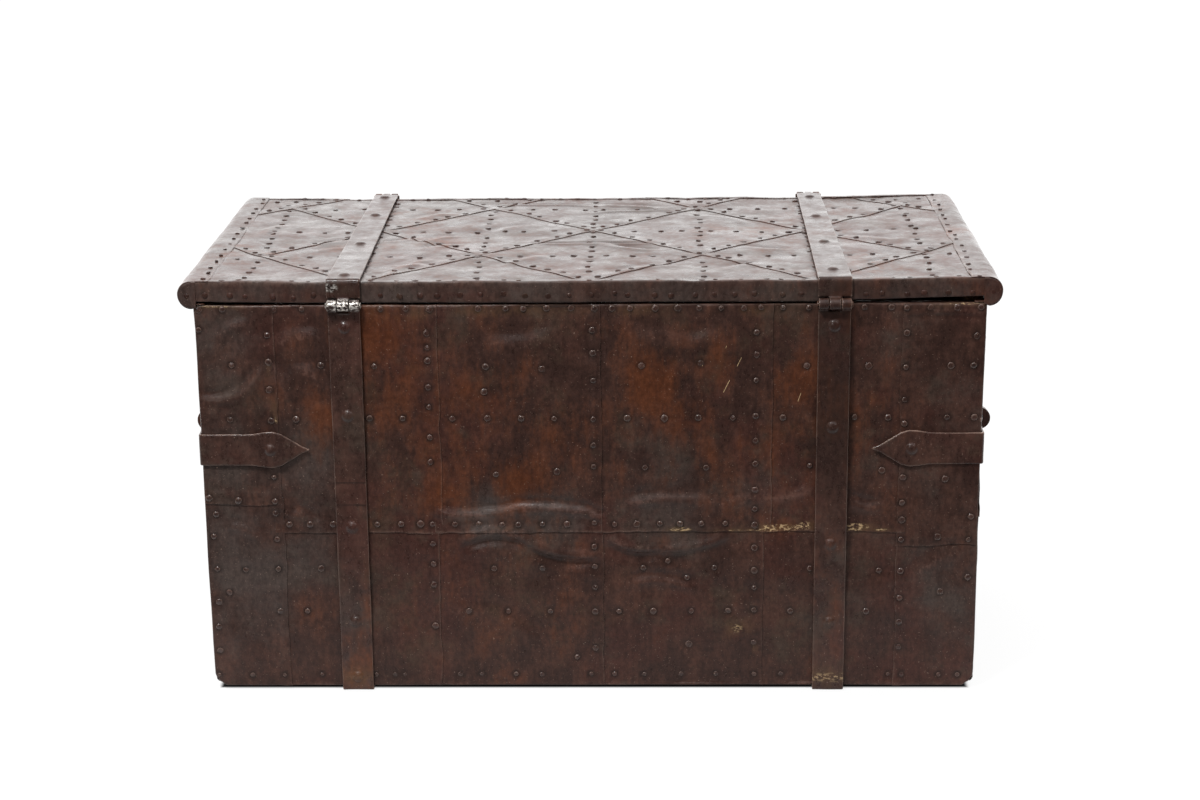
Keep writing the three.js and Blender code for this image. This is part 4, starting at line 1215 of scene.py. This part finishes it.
def lid_edge(name, node, out, seed):
    """The strip along one long edge of the lid, bent over its top, with a cap on each bullnose."""
    face = Face(Z, out, Face(Z, out, 0).box(node)[2][1])
    foot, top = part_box("lid_panel")[0].z - SHEET_THICKNESS, lid_high.z + STRIP_RISE
    middle = sum(corner.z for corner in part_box("right_lid_end_sheet")) / 2
    us = stations(-lid_half - STRIP_SPARE, lid_half + STRIP_SPARE, GRID_STEP)
    vs = stations(foot, top, STRIP_STEP, True, True, STRIP_FLAP)
    u, v = np.meshgrid(us, vs, indexing="ij")
    draw = np.random.default_rng(seed)
    row = spaced(-lid_half - 8 * MM, lid_half + 8 * MM, 31 * MM, 4 * MM, draw)
    nails = [(x, foot + (top - foot) * draw.normal(*STRIP_NAIL_LEVEL)) for x in row]
    relief = np.minimum(layered(u, v, seed, *STRIP_DENTS) - STRIP_DENT_SINK, STRIP_DENT_TOP)
    relief -= STRIP_PULL * np.exp(-((nearest_nail(u, v, nails) / PULL_WIDTH) ** 2))
    pv, drop, lean, flat = bent(v, foot, top)
    x = u * face.along.x
    sag = arris_wave(x) * ramp(pv, middle, top) + pinch(x) * (top - pv) / (top - foot)
    strip = face.place(u, pv + relief * lean + sag + warp(x), face.level - drop + relief * flat)
    # The bent top of the strip is painted pale, partly as wear and partly as a painted highlight
    edge = 1 - ramp(np.abs(v - (top - BEND)), 0, EDGE_SHINE)
    parts = [(strip, grid_faces(*u.shape), edge), *(nose_cap(face, sign, seed) for sign in (-1, 1))]
    points = np.concatenate([part[0].reshape(-1, 3) for part in parts])
    starts = np.cumsum([0] + [part[2].size for part in parts])
    mesh = mesh_from(name, points, np.concatenate([part[1] + start for part, start in zip(parts, starts)]))
    paint(mesh, edge=np.concatenate([part[2].ravel() for part in parts]),
          grey=0.75 + 0.3 * solid_noise(points, 0.1, seed + 6),
          rust=np.clip(0.45 * solid_noise(points, 0.07, seed + 7), 0, 1))
    piece = new_piece(name, mesh, "lid", lid_iron)
    thicken(piece)
    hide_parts(node)
    places = [(x, z + float(warp(x * face.along.x)), face.level - STRIP_NAIL_SINK, 1) for x, z in nails]
    clout_heads(name + "_clouts", face, places, STRIP_NAIL_RADIUS, STRIP_NAIL_HEIGHT,
                "lid", lid_nail_iron, seed)


lid_top()
lid_end("left")
lid_end("right")
lid_edge("lid_back_strip", "lid_back_sheet", -Y, 701)
lid_edge("lid_front_strip", "lid_front_sheet", Y, 751)


# Forged pieces: straps, bands, hasps, handles, eyes, pins and staples
def per_point(mesh, what):
    numbers = np.zeros(len(mesh.vertices) * 3, np.float32)
    mesh.vertices.foreach_get(what, numbers)
    return numbers.reshape(-1, 3).astype(float)


def near_spot(points, spot, stretch, reach):
    away = (points - np.array(spot)) * (stretch, 1, 1)
    return 1 - ramp(np.linalg.norm(away, axis=1), *reach)


def forged(node, voxel, material, hammer, draw_in=0.0):
    """A copy of a node with a fine mesh, its corners softened and its faces beaten uneven."""
    source = frame["nodes"][node]
    piece = new_piece(node + "_forged", source.data.copy(), source["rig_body"], material)
    remesh = piece.modifiers.new("remesh", "REMESH")
    remesh.mode, remesh.voxel_size, remesh.use_smooth_shade = "VOXEL", voxel, True
    piece.modifiers.new("soften", "SMOOTH").iterations = 2
    mesh = bpy.data.meshes.new_from_object(piece.evaluated_get(bpy.context.evaluated_depsgraph_get()))
    piece.modifiers.clear()
    points = per_point(mesh, "co")
    seed = sum(ord(c) for c in node)
    push = solid_noise(points, 0.03, seed) + 0.5 * solid_noise(points, 0.011, seed + 1) - 0.6
    points += per_point(mesh, "normal") * (hammer * push - draw_in)[:, None]
    mesh.vertices.foreach_set("co", points.astype(np.float32).ravel())
    mesh.update()
    mesh.shade_smooth()
    z = points[:, 2]
    mended = near_spot(points, MEND_PLACE, 0.2, MEND_REACH)
    scuffed = near_spot(points, SCUFF_PLACE, 0.6, SCUFF_REACH)
    # Painted darker towards the top of some straps, and along the joints
    darkening = STRAP_DARKENING.get(node, 0) * ramp(z, *STRAP_DARKENING_SPAN)
    for level in STRAP_JOINTS.get(node, ()):
        darkening += np.exp(-(((z - level) / JOINT_WIDTH) ** 2))
    flakes = STRAP_FLAKES.get(node, 0) * np.exp(-(((z - FLAKES_LEVEL) / FLAKES_REACH) ** 2))
    paint(mesh, bright=np.maximum(mended, scuffed), ochre=flakes, nail=darkening,
          grey=0.15 + 0.35 * solid_noise(points, 0.12, seed + 2),
          rust=np.clip(0.2 + 0.6 * solid_noise(points, 0.15, seed + 3), 0, 1))
    piece.data = mesh
    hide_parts(node)


for node in list(frame["nodes"]):
    if node.endswith(("_strap", "_band", "_hasp")):
        forged(node, 1.5 * MM, strap_iron, 0.35 * MM)
    elif node.endswith("_pin"):
        forged(node, 0.9 * MM, fitting_iron, 0.1 * MM, PIN_PLAY)
    elif node.endswith(("_handle", "_eye", "_staple")):
        forged(node, 0.9 * MM, fitting_iron, 0.2 * MM)


# Boards
def planks(node, count, across, trims, grain, warped=False):
    """A board as planks side by side, its clad faces drawn in a little under the dented sheets."""
    low, high = (Vector(corner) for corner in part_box(node))
    for axis, amount in trims:
        (low if amount > 0 else high)[axis] += amount
    work = bmesh.new()
    step = (high[across] - low[across]) / count
    for k in range(count):
        start, end = low.copy(), high.copy()
        start[across] = low[across] + k * step + PLANK_GAP
        end[across] = low[across] + (k + 1) * step - PLANK_GAP
        matrix = Matrix.Translation((start + end) / 2) @ Matrix.Diagonal((*(end - start), 1))
        bmesh.ops.create_cube(work, size=1, matrix=matrix)
    if warped:
        for x in np.concatenate([-PANEL_CUTS, PANEL_CUTS]):
            cut(work, (x, 0, 0), X)
        for vertex in work.verts:
            thinner = pinch(vertex.co.x) if vertex.co.z < (low.z + high.z) / 2 else 0
            vertex.co.z += float(warp(vertex.co.x) + thinner)
    name = node + "_planks"
    mesh = finished(work, bpy.data.meshes.new(name))
    piece = new_piece(name, mesh, frame["nodes"][node]["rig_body"], oak[grain])
    bevel = piece.modifiers.new("bevel", "BEVEL")
    bevel.width = PLANK_BEVEL
    bevel.segments = 3
    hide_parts(node)


def warped_cleat(side):
    """A copy of the bullnose cleat, drawn in under its sheet and lifted with the warped lid."""
    node = f"{side}_lid_cleat"
    work = bmesh.new()
    work.from_mesh(frame["nodes"][node].data)
    bmesh.ops.remove_doubles(work, verts=work.verts, dist=0.01 * MM)
    work.normal_update()
    for vertex in work.verts:
        vertex.co -= CLEAT_INSET * vertex.normal
        vertex.co.z += float(warp(vertex.co.x))
    mesh = finished(work, bpy.data.meshes.new(node + "_oak"))
    piece = new_piece(node + "_oak", mesh, "lid", oak["y"])
    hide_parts(node)


for node, inward in (("back_board", INSET), ("front_board", -INSET)):
    planks(node, 3, 2, [(1, inward), (0, INSET), (0, -INSET), (2, FOOT_INSET)], "x")
for node, inward in (("left_end_board", INSET), ("right_end_board", -INSET)):
    planks(node, 3, 2, [(0, inward), (2, FOOT_INSET)], "y")
planks("bottom_board", 4, 1, [], "x")
planks("lid_panel", 4, 1, [(2, -PANEL_INSET)], "x", True)
warped_cleat("left")
warped_cleat("right")


# Studio
def make_camera():
    data = bpy.data.cameras.new("camera")
    data.lens = CAMERA_LENS
    data.sensor_width = SENSOR_WIDTH
    camera = add_object("camera", data)
    ahead = Vector((
        math.sin(CAMERA_YAW) * math.cos(CAMERA_PITCH),
        math.cos(CAMERA_YAW) * math.cos(CAMERA_PITCH),
        -math.sin(CAMERA_PITCH),
    ))
    right = Vector((math.cos(CAMERA_YAW), -math.sin(CAMERA_YAW), 0))
    up = right.cross(ahead)
    turned = math.cos(CAMERA_ROLL) * right + math.sin(CAMERA_ROLL) * up
    upright = math.cos(CAMERA_ROLL) * up - math.sin(CAMERA_ROLL) * right
    axes = Matrix((turned, upright, -ahead)).transposed().to_4x4()
    camera.matrix_world = Matrix.Translation(CAMERA_PLACE) @ axes
    bpy.context.scene.camera = camera


def add_lamp(name, place, aim, size, power):
    data = bpy.data.lights.new(name, "AREA")
    data.shape = "RECTANGLE"
    data.size, data.size_y = size
    data.energy = power
    way = Vector(aim) - Vector(place)
    turn = way.to_track_quat("-Z", "Y").to_matrix().to_4x4()
    add_object(name, data).matrix_world = Matrix.Translation(place) @ turn


def make_world():
    """White to the camera; other rays meet a bright backdrop behind the chest and a dim room before it."""
    world = bpy.data.worlds.new("studio")
    bpy.context.scene.world = world
    world.use_nodes = True
    s = Shader(world.node_tree)
    way = s.add("SeparateXYZ", Vector=s.add("TexCoord").outputs["Generated"])
    backdrop = s.range(way.outputs[1], -0.1, 0.4, ROOM_LEVEL, BACKDROP_LEVEL)
    ceiling = s.range(way.outputs[2], 0.3, 0.9, 0.0, CEILING_LEVEL)
    level = s.math("MAXIMUM", backdrop, ceiling)
    camera_ray = s.add("LightPath").outputs["Is Camera Ray"]
    strength = s.math("ADD", s.times(level, s.math("SUBTRACT", 1.0, camera_ray)), camera_ray)
    background = s.add("Background", Color=(1, 1, 1, 1), Strength=strength)
    s.add("OutputWorld", Surface=background.outputs[0])


def make_floor():
    """A white floor that keeps the chest's shadow, with a painted shadow under the chest, where the paper is
    dark and doesn't glow; to other rays it is plain paper.
    """
    corners = [(x * FLOOR_HALF, y * FLOOR_HALF, 0) for x, y in ((-1, -1), (1, -1), (1, 1), (-1, 1))]
    mesh = mesh_from("floor", np.array(corners), np.array([(0, 1, 2, 3)]))
    floor = add_object("floor", mesh)
    material, s = new_material("floor")
    path = s.add("LightPath")
    spot = s.add("SeparateXYZ", Vector=s.add("TexCoord").outputs["Object"])
    along = spot.outputs[1]
    paper = s.add("BsdfDiffuse", Color=s.range(along, -1.0, -0.4, FLOOR_DARK, FLOOR_PAPER))
    glow = s.add("Emission", Color=(1, 1, 1, 1), Strength=BACKDROP_LEVEL)
    reflected = s.times(path.outputs["Is Glossy Ray"], s.range(along, -0.5, 1.5))
    beyond = s.blend(reflected, paper.outputs[0], glow.outputs[0])
    # Painted shadow: inside the chest's outline the paper is dark and has no glow, fading out over a rim
    # beyond its sides
    rim = 2 * PAINTED_SHADOW_RIM
    half_x, half_y = chest_high.x - rim, (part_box("front_board")[1].y - chest_low.y) / 2 - rim
    across = s.math("ABSOLUTE", s.math("SUBTRACT", along, chest_low.y + rim + half_y))
    beside = s.range(s.math("ABSOLUTE", spot.outputs[0]), half_x, half_x + rim)
    outside = s.math("MAXIMUM", beside, s.range(across, half_y, half_y + rim))
    painted_shadow_paper = s.add("BsdfDiffuse", Color=s.range(outside, 0.0, 1.0, PAINTED_SHADOW_UNDER_CHEST, PAPER_BESIDE_PAINTED_SHADOW))
    white = s.add("Emission", Color=(1, 1, 1, 1), Strength=1.0)
    seen = s.blend(s.times(outside, FLOOR_GLOW), painted_shadow_paper.outputs[0], white.outputs[0])
    s.add("OutputMaterial", Surface=s.blend(path.outputs["Is Camera Ray"], beyond, seen))
    mesh.materials.append(material)
    floor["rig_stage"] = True


make_camera()
make_world()
make_floor()
add_lamp("key", (-0.9, -1.7, 3.0), (0, -0.3, 0.35), (0.6, 0.4), 75)
add_lamp("fill", (1.9, -2.4, 2.2), (0, -0.3, 0.35), (0.7, 0.5), 8)
add_lamp("panel", (-1.1, -3.4, 1.25), (0, -0.3, 0.3), (1.1, 0.7), 12)
bpy.context.scene.view_settings.view_transform = "Standard"

({
    "cad": [list(corner) for corner in cad_box],
    "visual": [list(corner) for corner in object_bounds()],
})
